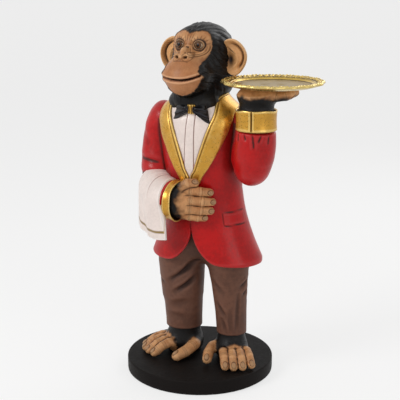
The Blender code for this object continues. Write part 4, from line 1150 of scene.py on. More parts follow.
def build_head():
    """The head over (turn, tilt): rays from its middle, close together on the face, end where the
    form does. Fur stands over the skin, with strands that run back from the face."""
    turn = full_turn(420) - math.pi
    turn = turn - 0.62 * np.sin(turn)
    tilt = np.linspace(0.03, math.pi - 0.03, 232)
    tilt = tilt + 0.22 * np.sin(2 * (tilt - 0.1))
    middle = np.array((0.0, 0.012, -0.03))
    tilts, turns = np.meshgrid(tilt, turn, indexing="ij")
    directions = np.stack([np.sin(tilts) * np.sin(turns), np.sin(tilts) * np.cos(turns), np.cos(tilts)], -1)
    reach = march(middle, directions, face_form)
    local = middle + directions * reach[..., None]
    x, y, z = (local[..., k] for k in range(3))
    rough = 0.0012 * ripple(local * (1, 0.4, 1), 260.0, 2)
    inside = outline_distance(x, z, FACE_OUTLINE) + rough
    front = smoothstep(0.018, 0.04, y)
    skin = smoothstep(-0.0016, 0.0012, inside) * front
    around = np.arctan2(x, z - 0.015 + 0.25 * (0.08 - y))
    back = np.linalg.norm(local - np.array((0.0, 0.08, 0.015)), axis=-1)
    strand = np.stack([np.cos(around) * 26, np.sin(around) * 26, back * 30], -1)
    wave = around + 0.1 * np.sin(back * 60 + 3 * around)
    ridges = np.sin(wave * 58 + 2.0 * np.sin(back * 45)) * 0.6 + np.sin(wave * 93 + 1.3) * 0.4
    ridges = ridges * (0.55 + 0.45 * np.sin(back * 110 + 5 * np.sin(around * 9)))
    fur = 1 - skin
    locks = np.sin(wave * 17 + 4.0 * np.sin(back * 38)) * np.sin(back * 75 + 3 * np.sin(around * 5))
    carved = (0.0008 * ridges + 0.0013 * locks) * smoothstep(0.0, -0.006, inside)
    lift = (settings().fur_depth + carved) * fur
    lift = lift - 0.0005 * face_lines(local) * skin
    local = local + directions * lift[..., None]
    lines = face_lines(local) * skin
    lines = np.maximum(lines, 0.5 * bump(inside + 0.0012, 0.001) * front * (1 - skin))
    q = mirrored(local)
    over = z - mouth_height(x)
    lip = bump(over - 0.005, 0.0026) + bump(over + 0.0058, 0.0026)
    lip = lip * smoothstep(0.058, 0.045, np.abs(x)) * (y > 0.05)
    lid = bump(np.linalg.norm(q - EYE, axis=-1) - 0.0148, 0.0022) * (y > EYE[1])
    muzzle = smoothstep(-0.002, -0.018, z) * smoothstep(0.055, 0.075, y)
    points, faces = closed_grid(in_head(local))
    masks = {
        "skin": skin.ravel(),
        "line": lines.ravel(),
        "lip": 0.55 * lip.ravel(),
        "lid": 0.7 * lid.ravel(),
        "muzzle": 0.75 * muzzle.ravel(),
        "nail": np.zeros(x.size),
        "strand": strand.reshape(-1, 3),
    }
    paint = once(creature_paint)
    dress("head_surface", points, faces, paint, ["head"], masks, 0.001)


def build_eye(name, side):
    """A glass ball over (tilt, turn) from its gaze, with a slight cornea; the mask runs with the
    angle from the gaze, for the pupil, the iris and the white."""
    tilt = np.linspace(0.02, math.pi - 0.02, 60)[:, None]
    turn = full_turn(80)
    side_axis = unit(np.cross(GAZE, (0, 0, 1)))
    up_axis = np.cross(side_axis, GAZE)
    radius = settings().eye_radius + 0.0006 * bump(tilt, 0.55)
    flat = np.cos(turn)[:, None] * side_axis + np.sin(turn)[:, None] * up_axis
    local = radius[..., None] * (np.cos(tilt)[..., None] * GAZE + np.sin(tilt)[..., None] * flat)
    centre = EYE * (side, 1, 1)
    points, faces = closed_grid(in_head(centre + local))
    masks = {"look": (tilt + 0 * turn).ravel()}
    dress(name + "_eyeball", points, faces, once(eye_glass), [name + "_eye"], masks)


EAR_CENTRES = {"right": (0.086, 0.0, -0.0065), "left": (0.0895, 0.01, -0.0065)}
EAR_HALF = (0.034, 0.0455)
EAR_SWEEP = math.radians(8)


def build_ear(name, side):
    """A blade over (share, turn): its front has the rolled rim, the groove inside it, the inner
    fold and the bowl, and its back is plain. The outline draws in at the lobe."""
    share = np.concatenate([np.linspace(0.02, 1.0, 70), np.linspace(1.0, 0.02, 26)])[:, None]
    front = (np.arange(96) < 70)[:, None]
    turn = full_turn(220)
    wide = EAR_HALF[0] * share * np.sin(turn) * (1 + 0.16 * np.cos(turn) - 0.1 * np.cos(2 * turn))
    tall = EAR_HALF[1] * share * np.cos(turn)
    outer = smoothstep(-0.75, 0.25, np.sin(turn - 0.35))
    low = smoothstep(-0.55, -0.95, np.cos(turn))
    rim = 0.0052 * bump(share - 0.9, 0.105) * (0.25 + 0.75 * outer) * (1 - 0.5 * low)
    groove = 0.0062 * bump(share - 0.7, 0.075) * outer * (1 - low)
    bend = np.hypot(wide + 0.006, (tall + 0.004) * 0.82)
    inner = 0.0046 * bump(bend - 0.0165, 0.005) * smoothstep(-0.9, 0.1, np.sin(turn))
    bowl = 0.008 * bump(np.hypot(wide + 0.009, (tall + 0.007) * 0.62), 0.0095)
    second = 0.004 * bump(tall - 0.0165 + 0.75 * (wide + 0.004), 0.0022) * bump(wide + 0.004, 0.0085)
    dish = 0.009 * (share**2 - 1)
    relief = dish + rim - groove + inner - bowl - second
    backs = 0.009 * (share**2 - 1) * 1.05 - 0.0065 - 0.0035 * np.sqrt(np.clip(1 - share**6, 0, 1))
    roll = np.sqrt(np.clip(1 - share**40, 0, 1))
    depth = np.where(front, relief * roll + (1 - roll) * -0.003, backs * roll + (1 - roll) * -0.003)
    outwards = np.array((math.cos(EAR_SWEEP), -math.sin(EAR_SWEEP), 0.0))
    forwards = np.array((math.sin(EAR_SWEEP), math.cos(EAR_SWEEP), 0.0))
    upwards = np.array((-0.1, 0.0, 1.0))
    blade = wide[..., None] * outwards + depth[..., None] * forwards + tall[..., None] * upwards
    points, faces = closed_grid(in_head((np.array(EAR_CENTRES[name]) + blade) * (side, 1, 1)))
    lines = 0.95 * bump(share - 0.715, 0.055) * outer * (1 - low)
    lines = np.maximum(lines, 1.1 * bump(np.hypot(wide + 0.0095, (tall + 0.007) * 0.58), 0.0088))
    lines = np.maximum(lines, 0.8 * second / 0.004)
    masks = {"line": np.where(front, lines, 0).ravel()}
    node = name + "_ear"
    dress(node + "_surface", points, faces, once(ear_paint), [node], masks, 0.002)


# Arms, hands and towel

SLEEVE_SCALE = 0.048
SLEEVE_LENGTH = 0.3
# Sleeve folds: turn in degrees and share of the length at both ends, depth, width and darkness
SLEEVE_FOLDS = {
    "right": (
        (150, 0.4, 235, 0.37, 0.003, 0.005, 0.8), (160, 0.47, 240, 0.45, 0.003, 0.005, 0.9),
        (190, 0.3, 250, 0.22, 0.002, 0.007, 0.3), (20, 0.45, 90, 0.4, 0.002, 0.007, 0.3),
        (270, 0.15, 330, 0.28, 0.002, 0.008, 0.2), (60, 0.2, 120, 0.3, 0.002, 0.008, 0.2),
    ),
    "left": (
        (163, 0.995, 170, 0.93, 0.0034, 0.003, 0.8), (190, 0.999, 196, 0.87, 0.0036, 0.0028, 0.9),
        (217, 0.995, 209, 0.92, 0.0034, 0.003, 0.8), (243, 0.995, 238, 0.9, 0.0028, 0.003, 0.6),
        (135, 0.995, 140, 0.9, 0.0028, 0.003, 0.6), (40, 0.995, 45, 0.88, 0.0028, 0.0035, 0.5),
        (330, 0.995, 325, 0.88, 0.0028, 0.0035, 0.5), (120, 0.52, 60, 0.44, 0.003, 0.006, 0.5),
        (130, 0.58, 70, 0.56, 0.0026, 0.005, 0.5), (20, 0.2, 90, 0.34, 0.0022, 0.008, 0.2),
    ),
}


def sleeve_creases(name, along, turn):
    """Folds of a sleeve over the share of its length and the turn round it, each a groove along a
    segment, with the mask of dark lines in the sharp ones."""
    out = np.zeros(np.broadcast(along, turn).shape)
    lines = out.copy()
    for t0, a0, t1, a1, deep, width, dark in SLEEVE_FOLDS[name]:
        shift = np.mod(turn - math.radians((t0 + t1) / 2) + math.pi, 2 * math.pi) - math.pi
        half = math.radians(t1 - t0) / 2 * SLEEVE_SCALE
        start, end = (-half, a0 * SLEEVE_LENGTH), (half, a1 * SLEEVE_LENGTH)
        fold = crease(shift * SLEEVE_SCALE, along * SLEEVE_LENGTH, start, end, width)
        out = out - deep * fold
        lines = np.maximum(lines, dark * np.clip(fold, 0, 1) ** 3)
    return out, lines


def build_sleeve(name, side):
    """A tube along the arm's middle line that is gathered into folds and turned in at the cuff."""
    rows, columns = 200, 150
    keys = smooth_path(SLEEVES[name], rows)
    along = np.linspace(0, 1, rows)[:, None]
    turn = full_turn(columns)
    out, lines = sleeve_creases(name, along, turn)
    radius = keys[:, 3] * round_off(rows, 0.1, end=False) * round_off(rows, 0.012, start=False)
    grid = tube(keys[:, :3], radius, radius, columns, (0, 1, 0.2), out * round_off(rows, 0.1)[:, None])
    out = 0.0008 * ripple(grid, 26.0)
    middle = keys[:, None, :3]
    grid = grid + unit(grid - middle) * out[..., None]
    points, faces = closed_grid(grid)
    lines = np.concatenate([lines.ravel(), (0.0, 0.0)])
    # Painted shade where the sleeve lies against the coat.
    lines = np.maximum(lines, 0.85 * bump(coat_gap(points) - 0.001, 0.0035) * (points[:, 2] < 0.68))
    dress(name + "_arm", points, faces, once(red_paint), [name + "_sleeve"], {"line": lines})


CUFF_SLIT_TURN = math.radians(187)


def build_cuff(name, side):
    """A band turned about the arm's end: its wall swells between two rolled edges, with a floor
    inside, and the raised one has a slit."""
    start, axis, long, radius = CUFFS[name]
    profile = [(0.2, 0.0006), (0.94, 0.0006), (0.985, 0.0014)]
    for share in np.linspace(0.05, 0.95, 26):
        bulge = 1.015 - 0.03 * math.sin(math.pi * share) + 0.02 * share**3
        bulge = bulge - 0.008 * bump(share - 0.85, 0.07)
        profile.append((bulge, long * share))
    profile += [(1.018, long * 0.985), (0.995, long), (0.96, long * 0.99), (0.935, long * 0.93)]
    profile += [(0.915, long * 0.6), (0.91, 0.0085), (0.2, 0.008)]
    profile = np.array(profile)
    rows, columns = len(profile), 260
    turn = full_turn(columns)
    axis = unit(axis)
    side_axis = unit(np.cross(axis, (0, 1, 0.2)))
    upward = np.cross(side_axis, axis)
    share = profile[:, 1:] / long
    wobble = 1 + 0.01 * np.sin(3 * turn + 2.0 * share) * share + 0.006 * np.sin(5 * turn + 1.0)
    reach = profile[:, :1] * radius * wobble
    lines = np.zeros(reach.shape)
    outer = (np.arange(rows) > 2) & (np.arange(rows) < rows - 3)
    if side > 0:
        gap = (turn - CUFF_SLIT_TURN) * radius
        slit = bump(gap, 0.0018) * outer[:, None]
        reach = reach - 0.003 * slit + 0.0012 * bump(np.abs(gap) - 0.005, 0.0022) * outer[:, None]
        lines = 0.95 * bump(gap, 0.0015) * outer[:, None]
    ring = np.cos(turn)[:, None] * upward + np.sin(turn)[:, None] * side_axis
    grid = np.array(start) + profile[:, 1, None, None] * axis + reach[..., None] * ring[None]
    lift = 0.0016 * np.sin(2 * turn + 0.8) + 0.001 * np.sin(5 * turn)
    grid = grid + (share * lift)[..., None] * axis
    rim = 0.8 * bump(share - 0.03, 0.02) * outer[:, None]
    lines = np.maximum(lines, rim)
    lines = np.where(np.arange(rows)[:, None] >= rows - 3, 0.9, lines)
    points, faces = closed_grid(grid)
    masks = {"line": lines.ravel()}
    dress(name + "_wrist_band", points, faces, once(gold_leaf), [name + "_cuff"], masks)


NAIL_SIZE = (0.0085, 0.006)


def digit_relief(points, keys, nail_way, knuckles):
    """Wrinkles across a digit at its joints, and the nail on its tip as a shallow raised plate.
    Gives the height to add, with the masks of lines and nail."""
    keys = np.array(keys, float)
    gap, share = limb(points, keys)
    near = smoothstep(0.006, 0.002, gap)
    out = np.zeros(len(points))
    lines = out.copy()
    for joint in knuckles:
        out += 0.0008 * bump(share - joint, 0.07) * near
        for shift in (-0.035, 0.0, 0.035):
            out -= 0.0005 * bump(share - joint - shift, 0.01) * near
            lines = np.maximum(lines, 0.5 * bump(share - joint - shift, 0.007) * near)
    tip = keys[-1, :3]
    along = unit(tip - keys[-2, :3])
    up = np.array(nail_way, float)
    up = unit(up - along * (up @ along))
    over = np.cross(along, up)
    middle = tip + along * keys[-1, 3] * 0.15
    off = points - middle
    plate = np.hypot((off @ along) / NAIL_SIZE[0], (off @ over) / NAIL_SIZE[1])
    facing = smoothstep(0.25, 0.6, (points - tip) @ up / keys[-1, 3])
    nail = smoothstep(1.08, 0.92, plate) * facing
    rim = bump(plate - 1.05, 0.12) * facing
    return out + 0.0006 * nail - 0.0006 * rim, np.maximum(lines, 0.75 * rim), nail


def build_limb_piece(name, distance, box, step, digits, skin_of, node):
    """A hand or foot as the net of a distance, with its digits' relief along the normals and painted shade,
    a dark line, where two digits are about as near as each other."""
    points, faces = net(distance, *box, step)
    nudge = step * 0.5
    slope = np.stack([distance(points + d) - distance(points - d) for d in np.eye(3) * nudge], -1)
    normals = unit(slope)
    out = 0.0003 * ripple(points, 90.0)
    lines = np.zeros(len(points))
    nails = lines.copy()
    gaps = np.sort([limb(points, keys)[0] for keys, _, _ in digits], axis=0)
    # Painted shade in the gaps between neighbouring digits.
    between = 0.95 * bump(gaps[1] - gaps[0], 0.0024) * smoothstep(0.0075, 0.0035, gaps[1])
    for keys, nail_way, knuckles in digits:
        height, line, nail = digit_relief(points, keys, nail_way, knuckles)
        out += height
        lines = np.maximum(lines, line)
        nails = np.maximum(nails, nail)
    lines = np.maximum(lines, between)
    skin = skin_of(points)
    points = points + normals * out[:, None]
    strand = points * (500.0, 500.0, 140.0)
    masks = {"skin": skin, "line": lines * skin, "nail": nails, "strand": strand}
    masks |= {key: np.zeros(len(points)) for key in ("lip", "lid", "muzzle")}
    dress(name, points, faces, once(creature_paint), [node], masks, 0.0011)


# Digits: points of each one's middle line with its radius, from the root
RIGHT_DIGITS = (
    (
        (0.004, -0.113, 0.515, 0.012), (0.026, -0.112, 0.5145, 0.012),
        (0.048, -0.103, 0.512, 0.0116), (0.068, -0.088, 0.509, 0.0098),
    ),
    (
        (0.004, -0.115, 0.492, 0.0124), (0.028, -0.1145, 0.4915, 0.0124),
        (0.053, -0.104, 0.488, 0.0118), (0.073, -0.085, 0.485, 0.01),
    ),
    (
        (0.004, -0.115, 0.469, 0.012), (0.026, -0.1135, 0.468, 0.0121),
        (0.049, -0.103, 0.465, 0.0115), (0.069, -0.086, 0.4615, 0.0098),
    ),
    (
        (0.003, -0.109, 0.449, 0.0106), (0.022, -0.108, 0.4475, 0.0106),
        (0.04, -0.101, 0.445, 0.01), (0.055, -0.0905, 0.443, 0.0088),
    ),
)
RIGHT_THUMB = (
    (-0.012, -0.112, 0.508, 0.0125), (0.004, -0.118, 0.523, 0.0125), (0.02, -0.117, 0.5335, 0.012),
    (0.036, -0.108, 0.535, 0.0102),
)


def build_right_hand():
    """Wrist, palm and five digits laid on the belly."""

    def distance(p):
        start, axis, _, _ = CUFFS["right"]
        axis = unit(axis)
        level = (p - np.array(start)) @ axis
        wrist = ball(p, (-0.014, -0.105, 0.4845), (0.034, 0.0405, 0.045))
        shape = blend(wrist, ball(p, (0.008, -0.106, 0.484), (0.026, 0.0235, 0.0435)), 0.014)
        for keys in RIGHT_DIGITS:
            shape = blend(shape, limb(p, keys)[0], 0.0035)
        shape = blend(shape, limb(p, RIGHT_THUMB)[0], 0.004)
        return np.maximum(shape, 0.0086 - level)

    digits = [(keys, (0.5, -0.85, 0.1), (0.33, 0.68)) for keys in RIGHT_DIGITS]
    digits.append((RIGHT_THUMB, (0.3, -0.8, 0.5), (0.6,)))

    def skin_of(p):
        edge = p[:, 0] + 0.006 * ripple(p, 120.0, 2) - 0.1 * np.abs(p[:, 2] - 0.49)
        return smoothstep(-0.008, 0.014, edge)

    box = ((-0.045, -0.155, 0.425), (0.095, -0.055, 0.56))
    build_limb_piece("right_hand_surface", distance, box, 0.00135, digits, skin_of, "right_hand")


LEFT_TURN = math.radians(25)
PALM_TOP = 0.779


def left_place(points):
    """Points given along the fingers, across them and up, in the figure's frame."""
    along = np.array((math.cos(LEFT_TURN), math.sin(LEFT_TURN), 0.0))
    across = np.array((-math.sin(LEFT_TURN), math.cos(LEFT_TURN), 0.0))
    base = np.array((*CUFFS["left"][0][:2], 0.0))
    points = np.asarray(points, float)
    return base + points[..., :1] * along + points[..., 1:2] * across + points[..., 2:] * (0, 0, 1)


# The raised hand's digits: along the fingers, across them, height and radius, from the root
LEFT_DIGITS = (
    (
        (0.016, -0.031, 0.762, 0.013), (0.046, -0.036, 0.758, 0.013), (0.068, -0.04, 0.76, 0.0122),
        (0.08, -0.043, 0.765, 0.0105),
    ),
    (
        (0.02, -0.01, 0.762, 0.0135), (0.054, -0.012, 0.756, 0.0135),
        (0.076, -0.014, 0.759, 0.0125), (0.09, -0.015, 0.765, 0.0108),
    ),
    (
        (0.02, 0.011, 0.762, 0.0135), (0.054, 0.013, 0.756, 0.0135), (0.076, 0.014, 0.759, 0.0125),
        (0.09, 0.014, 0.765, 0.0108),
    ),
    (
        (0.016, 0.031, 0.762, 0.0125), (0.046, 0.035, 0.758, 0.0122), (0.068, 0.039, 0.76, 0.0115),
        (0.081, 0.041, 0.7645, 0.01),
    ),
    ((-0.01, 0.026, 0.762, 0.0126), (-0.018, 0.04, 0.764, 0.012), (-0.02, 0.052, 0.768, 0.01)),
)


def build_left_hand():
    """The raised wrist opens into a palm, flat under the tray, with the digits spread."""
    digits = []
    for keys in LEFT_DIGITS:
        keys = np.array(keys)
        digits.append(np.concatenate([left_place(keys[:, :3]), keys[:, 3:]], 1))

    def distance(p):
        base = np.array((*CUFFS["left"][0][:2], 0.0))
        off = p - base
        along = off[..., 0] * math.cos(LEFT_TURN) + off[..., 1] * math.sin(LEFT_TURN)
        across = -off[..., 0] * math.sin(LEFT_TURN) + off[..., 1] * math.cos(LEFT_TURN)
        own = np.stack([along, across, off[..., 2]], -1)
        waist = 0.044 - 0.0035 * bump(own[..., 2] - 0.735, 0.012)
        column = np.maximum(np.hypot(along, across) - waist, own[..., 2] - 0.752)
        shape = blend(column, ball(own, (0.008, 0.0, 0.759), (0.052, 0.046, 0.025)), 0.02)
        for keys in digits:
            shape = blend(shape, limb(p, keys)[0], 0.005)
        shape = np.maximum(shape, own[..., 2] - PALM_TOP)
        return np.maximum(shape, CUFFS["left"][0][2] + 0.0088 - own[..., 2])

    def skin_of(p):
        return smoothstep(0.7485, 0.76, p[:, 2] + 0.004 * ripple(p, 110.0, 2))

    relief = [(keys, (0.0, 0.0, -1.0), (0.35, 0.7)) for keys in digits]
    box = ((0.11, -0.135, 0.672), (0.305, 0.045, 0.784))
    build_limb_piece("left_hand_surface", distance, box, 0.0015, relief, skin_of, "left_hand")


TOWEL_ALONG = (0.595, 0.955)
TOWEL_THICKNESS = 0.005
TOWEL_SAMPLES = 120
HANGING_SHARE = 0.55
STRIPE_HEIGHT = 0.019


def build_towel():
    """A folded cloth over (share along the arm, way over it): the section lies on the sleeve and
    falls straight, with waves that grow to the hem, and drifts towards the hand as it falls. Its
    back face follows the front one at the cloth's thickness."""
    rows = 130
    steps = np.arange(600)
    fine = smooth_path(SLEEVES["right"], len(steps))
    slopes = np.gradient(fine[:, :3], axis=0)
    at = np.linspace(*TOWEL_ALONG, rows) * steps[-1]
    keys = np.stack([np.interp(at, steps, column) for column in fine.T], -1)
    tangent = np.stack([np.interp(at, steps, column) for column in slopes.T], -1)
    outwards = unit(np.stack([tangent[:, 1], -tangent[:, 0], 0 * at], -1))
    share = np.linspace(0, 1, rows)[:, None]
    drop = settings().towel_drop
    ways = np.linspace(0, 1, TOWEL_SAMPLES)
    fall = ways[ways <= HANGING_SHARE] / HANGING_SHARE
    over = (ways[ways > HANGING_SHARE] - HANGING_SHARE) / (1 - HANGING_SHARE)
    arc = np.radians(150) * over
    radius = keys[:, 3:4] + 0.0052
    hem = 0.007 - drop - 0.006 * np.sin(math.pi * share) + 0.002 * share
    low = hem * (1 - fall)
    wave = 0.0034 * np.sin(11.0 * share + 0.6) + 0.0012 * np.sin(23.0 * share + 2.0)
    wave = wave * (1 - fall) ** 0.7 + 0.0012 * np.sin(9 * share) * (1 - fall)
    flare = 0.005 * (1 - fall)
    flat = np.concatenate([radius + flare + wave, radius * np.cos(arc)], 1)
    rise = np.concatenate([low + 0 * share, radius * np.sin(arc)], 1)
    pleat = 0.0016 * bump(share - 0.62 + 0.1 * over, 0.035)
    pleat = pleat + 0.0014 * bump(share - 0.3 - 0.12 * over, 0.03)
    swell = np.concatenate([np.zeros((rows, len(fall))), pleat], 1)
    grow = 1 + swell / radius
    flat, rise = flat * np.where(rise > 0, grow, 1), rise * np.where(rise > 0, grow, 1)
    back_flat, back_rise = flat[:, ::-1].copy(), rise[:, ::-1].copy()
    inner = keys[:, 3:4] + 0.0006
    arc_back = arc[::-1]
    n = len(over)
    back_flat[:, :n] = inner * np.cos(arc_back)
    back_rise[:, :n] = inner * np.sin(arc_back)
    back_flat[:, n:] = back_flat[:, n:] - TOWEL_THICKNESS
    flat = np.concatenate([flat, back_flat], 1)
    rise = np.concatenate([rise, back_rise], 1)
    hanging = np.concatenate([1 - fall, 0 * over])
    drift = (0.01 + 0.018 * share) * np.concatenate([hanging, hanging[::-1]])
    grid = keys[:, None, :3] + flat[..., None] * outwards[:, None] + rise[..., None] * np.array((0, 0, 1.0))
    grid = grid + drift[..., None] * unit((0.966, -0.259, 0.0))
    front = np.arange(2 * TOWEL_SAMPLES) < TOWEL_SAMPLES
    from_stripe = np.abs(grid[..., 2] - (keys[:, 2:3] + hem) - STRIPE_HEIGHT)
    stripe = smoothstep(0.003, 0.0022, from_stripe) * front
    lines = 0.5 * bump(from_stripe - 0.0028, 0.0007) * front
    over = np.concatenate([0 * fall, over])
    creases = 0.8 * bump(share - 0.66 + 0.1 * over, 0.01) * np.sin(math.pi * over)
    lines[:, :TOWEL_SAMPLES] = np.maximum(lines[:, :TOWEL_SAMPLES], creases)
    points, faces = closed_grid(grid)
    masks = {"line": lines.ravel(), "trim": stripe.ravel()}
    dress("towel_cloth", points, faces, once(linen_paint), ["towel"], masks, 0.002)


# Tray

TRAY_CENTRE = (0.219, -0.058)
TRAY_LOW = 0.7795
TRAY_RIM_WIDTH = 0.0265
SCALLOPS = 16
SCALLOP_DEPTH = 0.0022
BEADS = 44
LEAVES = 24


def build_tray():
    """A disc over (radius, turn): a chased well, and a rim in relief of beads and leaves that is scalloped
    at its edge, over a plain back. The rim's recesses are stained, the well is darker over all and the back
    a little darker."""
    low = TRAY_LOW
    radius = settings().tray_radius
    well = radius - TRAY_RIM_WIDTH
    turn = full_turn(720)
    back = np.array([0.004, 0.5, 0.9, 1.0]) * well
    profile = [(r, low) for r in back]
    slope = radius - 0.007 - well
    profile += [(well + slope * k, low + 0.006 * k**1.3) for k in (0.25, 0.5, 0.75, 1.0)]
    profile += [(radius - 0.0015, low + 0.0078), (radius, low + 0.0098), (radius - 0.0012, low + 0.0118)]
    for k in np.linspace(0, 1, 44):
        inwards = 0.003 + (radius - 0.004 - well) * k
        profile.append((radius - inwards, low + 0.0125 - 0.0042 * k - 0.0025 * k**6))
    profile += [(well - 0.0008, low + 0.0055), (well - 0.0025, low + 0.0042)]
    profile += [(r * well, low + 0.004) for r in np.linspace(0.965, 0.01, 40)]
    profile = np.array(profile)
    flat, level = profile[:, :1], profile[:, 1:]
    share = smoothstep(well * 0.98, radius, flat)
    scallop = 1 + SCALLOP_DEPTH / radius * share * np.cos(SCALLOPS * turn)
    x = flat * scallop * np.cos(turn)
    y = flat * scallop * np.sin(turn)
    top = np.arange(len(profile))[:, None] > 10
    band = (flat - well) / (radius - well)
    beads = np.abs(np.cos(BEADS * turn)) ** 0.6 * bump(band - 0.9, 0.085)
    leaves = np.abs(np.sin(LEAVES * turn + 3.0 * band)) * bump(band - 0.6, 0.17)
    veins = 0.5 * np.abs(np.sin(2 * LEAVES * turn - 6.0 * band)) * bump(band - 0.42, 0.12)
    round_disc = np.stack(np.broadcast_arrays(np.cos(turn) * flat, np.sin(turn) * flat, 0.0), -1)
    scroll = 0.45 * ripple(round_disc, 420.0, 2)
    relief = (beads * 1.1 + leaves + veins + scroll * bump(band - 0.6, 0.35)) * 0.0022
    relief = relief + 0.0012 * bump(band - 0.2, 0.05) + 0.0008 * bump(band - 0.05, 0.04)
    inside = flat / well
    chase = 0.00035 * np.sin(40 * turn) * bump(inside - 0.82, 0.05)
    chase = chase + 0.0005 * (bump(inside - 0.9, 0.012) + bump(inside - 0.74, 0.012))
    chase = chase + 0.0003 * np.sin(SCALLOPS * turn) * bump(inside - 0.25, 0.12)
    z = level + np.where(top, relief + chase * (inside < 1), 0)
    recess = smoothstep(0.0016, 0.0003, relief)
    darkening = 0.9 * recess * smoothstep(0.1, 0.2, band) * smoothstep(1.02, 0.95, band)
    # The well is darker over all, and the back a little darker.
    darkening = np.where(top, np.maximum(darkening, 0.6 * smoothstep(1.0, 0.97, inside)), 0.25)
    grid = np.stack([TRAY_CENTRE[0] + x, TRAY_CENTRE[1] + y, z], -1)
    points, faces = closed_grid(grid)
    masks = {"line": darkening.ravel()}
    dress("salver", points, faces, once(tray_plating), ["tray"], masks, 0.001)


# Legs, feet and plinth


def ankle(side):
    return np.array((STANCE_CENTRE[0] + side * ANKLE_SPREAD / 2, STANCE_CENTRE[1]))


def hip(side):
    return np.array((HIP_CENTRE[0] + side * HIP_SPREAD / 2, HIP_CENTRE[1]))


# Legs: share of the way up, radius and shift to the figure's left
LEG_RADII = {
    "right": (
        (0.0, 0.048, -0.001), (0.2, 0.049, -0.002), (0.38, 0.0515, -0.003), (0.5, 0.056, -0.005),
        (0.65, 0.059, -0.006), (0.85, 0.0625, -0.007), (1.0, 0.062, -0.007),
    ),
    "left": (
        (0.0, 0.0385, 0.002), (0.35, 0.0415, 0.0045), (0.65, 0.0475, 0.0055), (0.85, 0.054, 0.006),
        (1.0, 0.0585, 0.006),
    ),
}
# Trouser folds: both ends, depth and width
LEG_FOLDS = (
    ((0.022, -0.03, 0.322), (-0.066, -0.05, 0.248), 0.0085, 0.0085),
    ((0.008, -0.024, 0.266), (-0.048, -0.05, 0.22), 0.008, 0.0072),
    ((-0.078, -0.044, 0.238), (-0.106, -0.022, 0.246), 0.0035, 0.007),
    ((-0.01, -0.046, 0.196), (-0.07, -0.048, 0.176), 0.003, 0.011),
    ((-0.02, -0.044, 0.146), (-0.08, -0.04, 0.152), 0.0022, 0.01),
    ((0.131, 0.014, 0.262), (0.124, -0.02, 0.245), 0.0055, 0.0062),
    ((0.13, 0.014, 0.234), (0.127, -0.008, 0.222), 0.005, 0.0055),
    ((0.12, -0.022, 0.228), (0.116, -0.021, 0.13), 0.0045, 0.0045),
    ((0.065, -0.034, 0.198), (0.086, -0.036, 0.166), 0.0045, 0.006),
    ((0.078, -0.034, 0.156), (0.09, -0.034, 0.122), 0.0035, 0.005),
    ((0.102, -0.034, 0.178), (0.103, -0.033, 0.122), 0.0028, 0.005),
    ((0.05, -0.03, 0.262), (0.085, -0.046, 0.226), 0.003, 0.0085),
    ((-0.01, 0.054, 0.3), (-0.078, 0.05, 0.262), 0.0055, 0.0085),
    ((0.045, 0.054, 0.3), (0.11, 0.046, 0.262), 0.0055, 0.0085),
    ((-0.095, 0.034, 0.205), (-0.025, 0.058, 0.188), 0.004, 0.0075),
    ((0.125, 0.026, 0.21), (0.07, 0.052, 0.19), 0.004, 0.007),
)


def trouser_folds(points):
    """Depth of the folds in the trousers, and the mask of the wash in them: along each segment a
    groove that is a bell of the distance from it, with a softer ridge over it."""
    depth = np.zeros(points.shape[:-1])
    wash = depth.copy()
    for start, end, deep, width in LEG_FOLDS:
        a, along = np.array(start), np.array(end) - np.array(start)
        t = np.clip((points - a) @ along / (along @ along), 0, 1)
        off = points - a - t[..., None] * along
        gap = np.linalg.norm(off, axis=-1)
        taper = np.sin(math.pi * np.clip(0.12 + 0.8 * t, 0, 1))
        depth = depth + deep * taper * bump(gap, width)
        over = bump(off[..., 2] - 1.3 * width, 1.1 * width) * bump(gap - 1.5 * width, 1.5 * width)
        depth = depth - 0.35 * deep * taper * over
        strong = min(deep / 0.007, 1.0)
        wash = np.maximum(wash, strong * taper * bump(gap - 0.3 * width, 0.9 * width))
    return depth, wash


def leg_keys(name, side):
    """Points of a leg's middle line with its radii, from below the hem to the hip."""
    low = np.array((*ankle(side), TROUSER_HEM - 0.03))
    high = np.array((*hip(side), LEG_TOP))
    keys = []
    for share, radius, shift in LEG_RADII[name]:
        x, y, z = low + (high - low) * share
        keys.append((x + shift, y, z, radius))
    return keys


def build_trousers():
    """Two tapering legs that join at the seat, as the net of a distance, with folds grooved along
    their segments."""

    def distance(p):
        legs = [limb(p, leg_keys(name, side))[0] for name, side in SIDES]
        shape = blend(*legs, 0.012)
        seat_form = ball(p, (*HIP_CENTRE, SEAT_HEIGHT), SEAT_HALF)
        shape = blend(shape, seat_form, 0.02)
        shape = shape + trouser_folds(p)[0]
        return np.maximum(np.maximum(shape, TROUSER_HEM - p[..., 2]), p[..., 2] - TROUSER_TOP)

    points, faces = net(distance, (-0.125, -0.09, 0.108), (0.15, 0.09, 0.455), 0.0024)
    lines = 0.6 * bump(points[:, 2] - TROUSER_HEM - 0.001, 0.002)
    lines = np.maximum(lines, 0.95 * trouser_folds(points)[1])
    # Painted shade between the legs, below the seat.
    crotch = bump(points[:, 0] - 0.022, 0.022) * smoothstep(0.26, 0.31, points[:, 2])
    lines = np.maximum(lines, 0.45 * crotch)
    masks = {"line": lines}
    dress("trouser_cloth", points, faces, once(brown_paint), ["trousers"], masks, 0.0018)


# Four toes: root and tip, sideways and forwards of the ankle
TOES = {
    "right": (
        ((-0.028, 0.03), (-0.033, 0.098)),
        ((-0.009, 0.038), (-0.011, 0.106)),
        ((0.01, 0.038), (0.012, 0.108)),
        ((0.028, 0.03), (0.035, 0.1)),
    ),
    "left": (
        ((-0.028, 0.03), (-0.034, 0.094)),
        ((-0.009, 0.038), (-0.013, 0.101)),
        ((0.01, 0.038), (0.01, 0.102)),
        ((0.028, 0.03), (0.035, 0.094)),
    ),
}
# A toe's bend: share of its length, height and radius
TOE_ARCH = (
    (0.38, 0.0335, 0.0122), (0.68, 0.0255, 0.0116), (0.88, 0.015, 0.0114), (1.0, 0.0112, 0.0106),
)
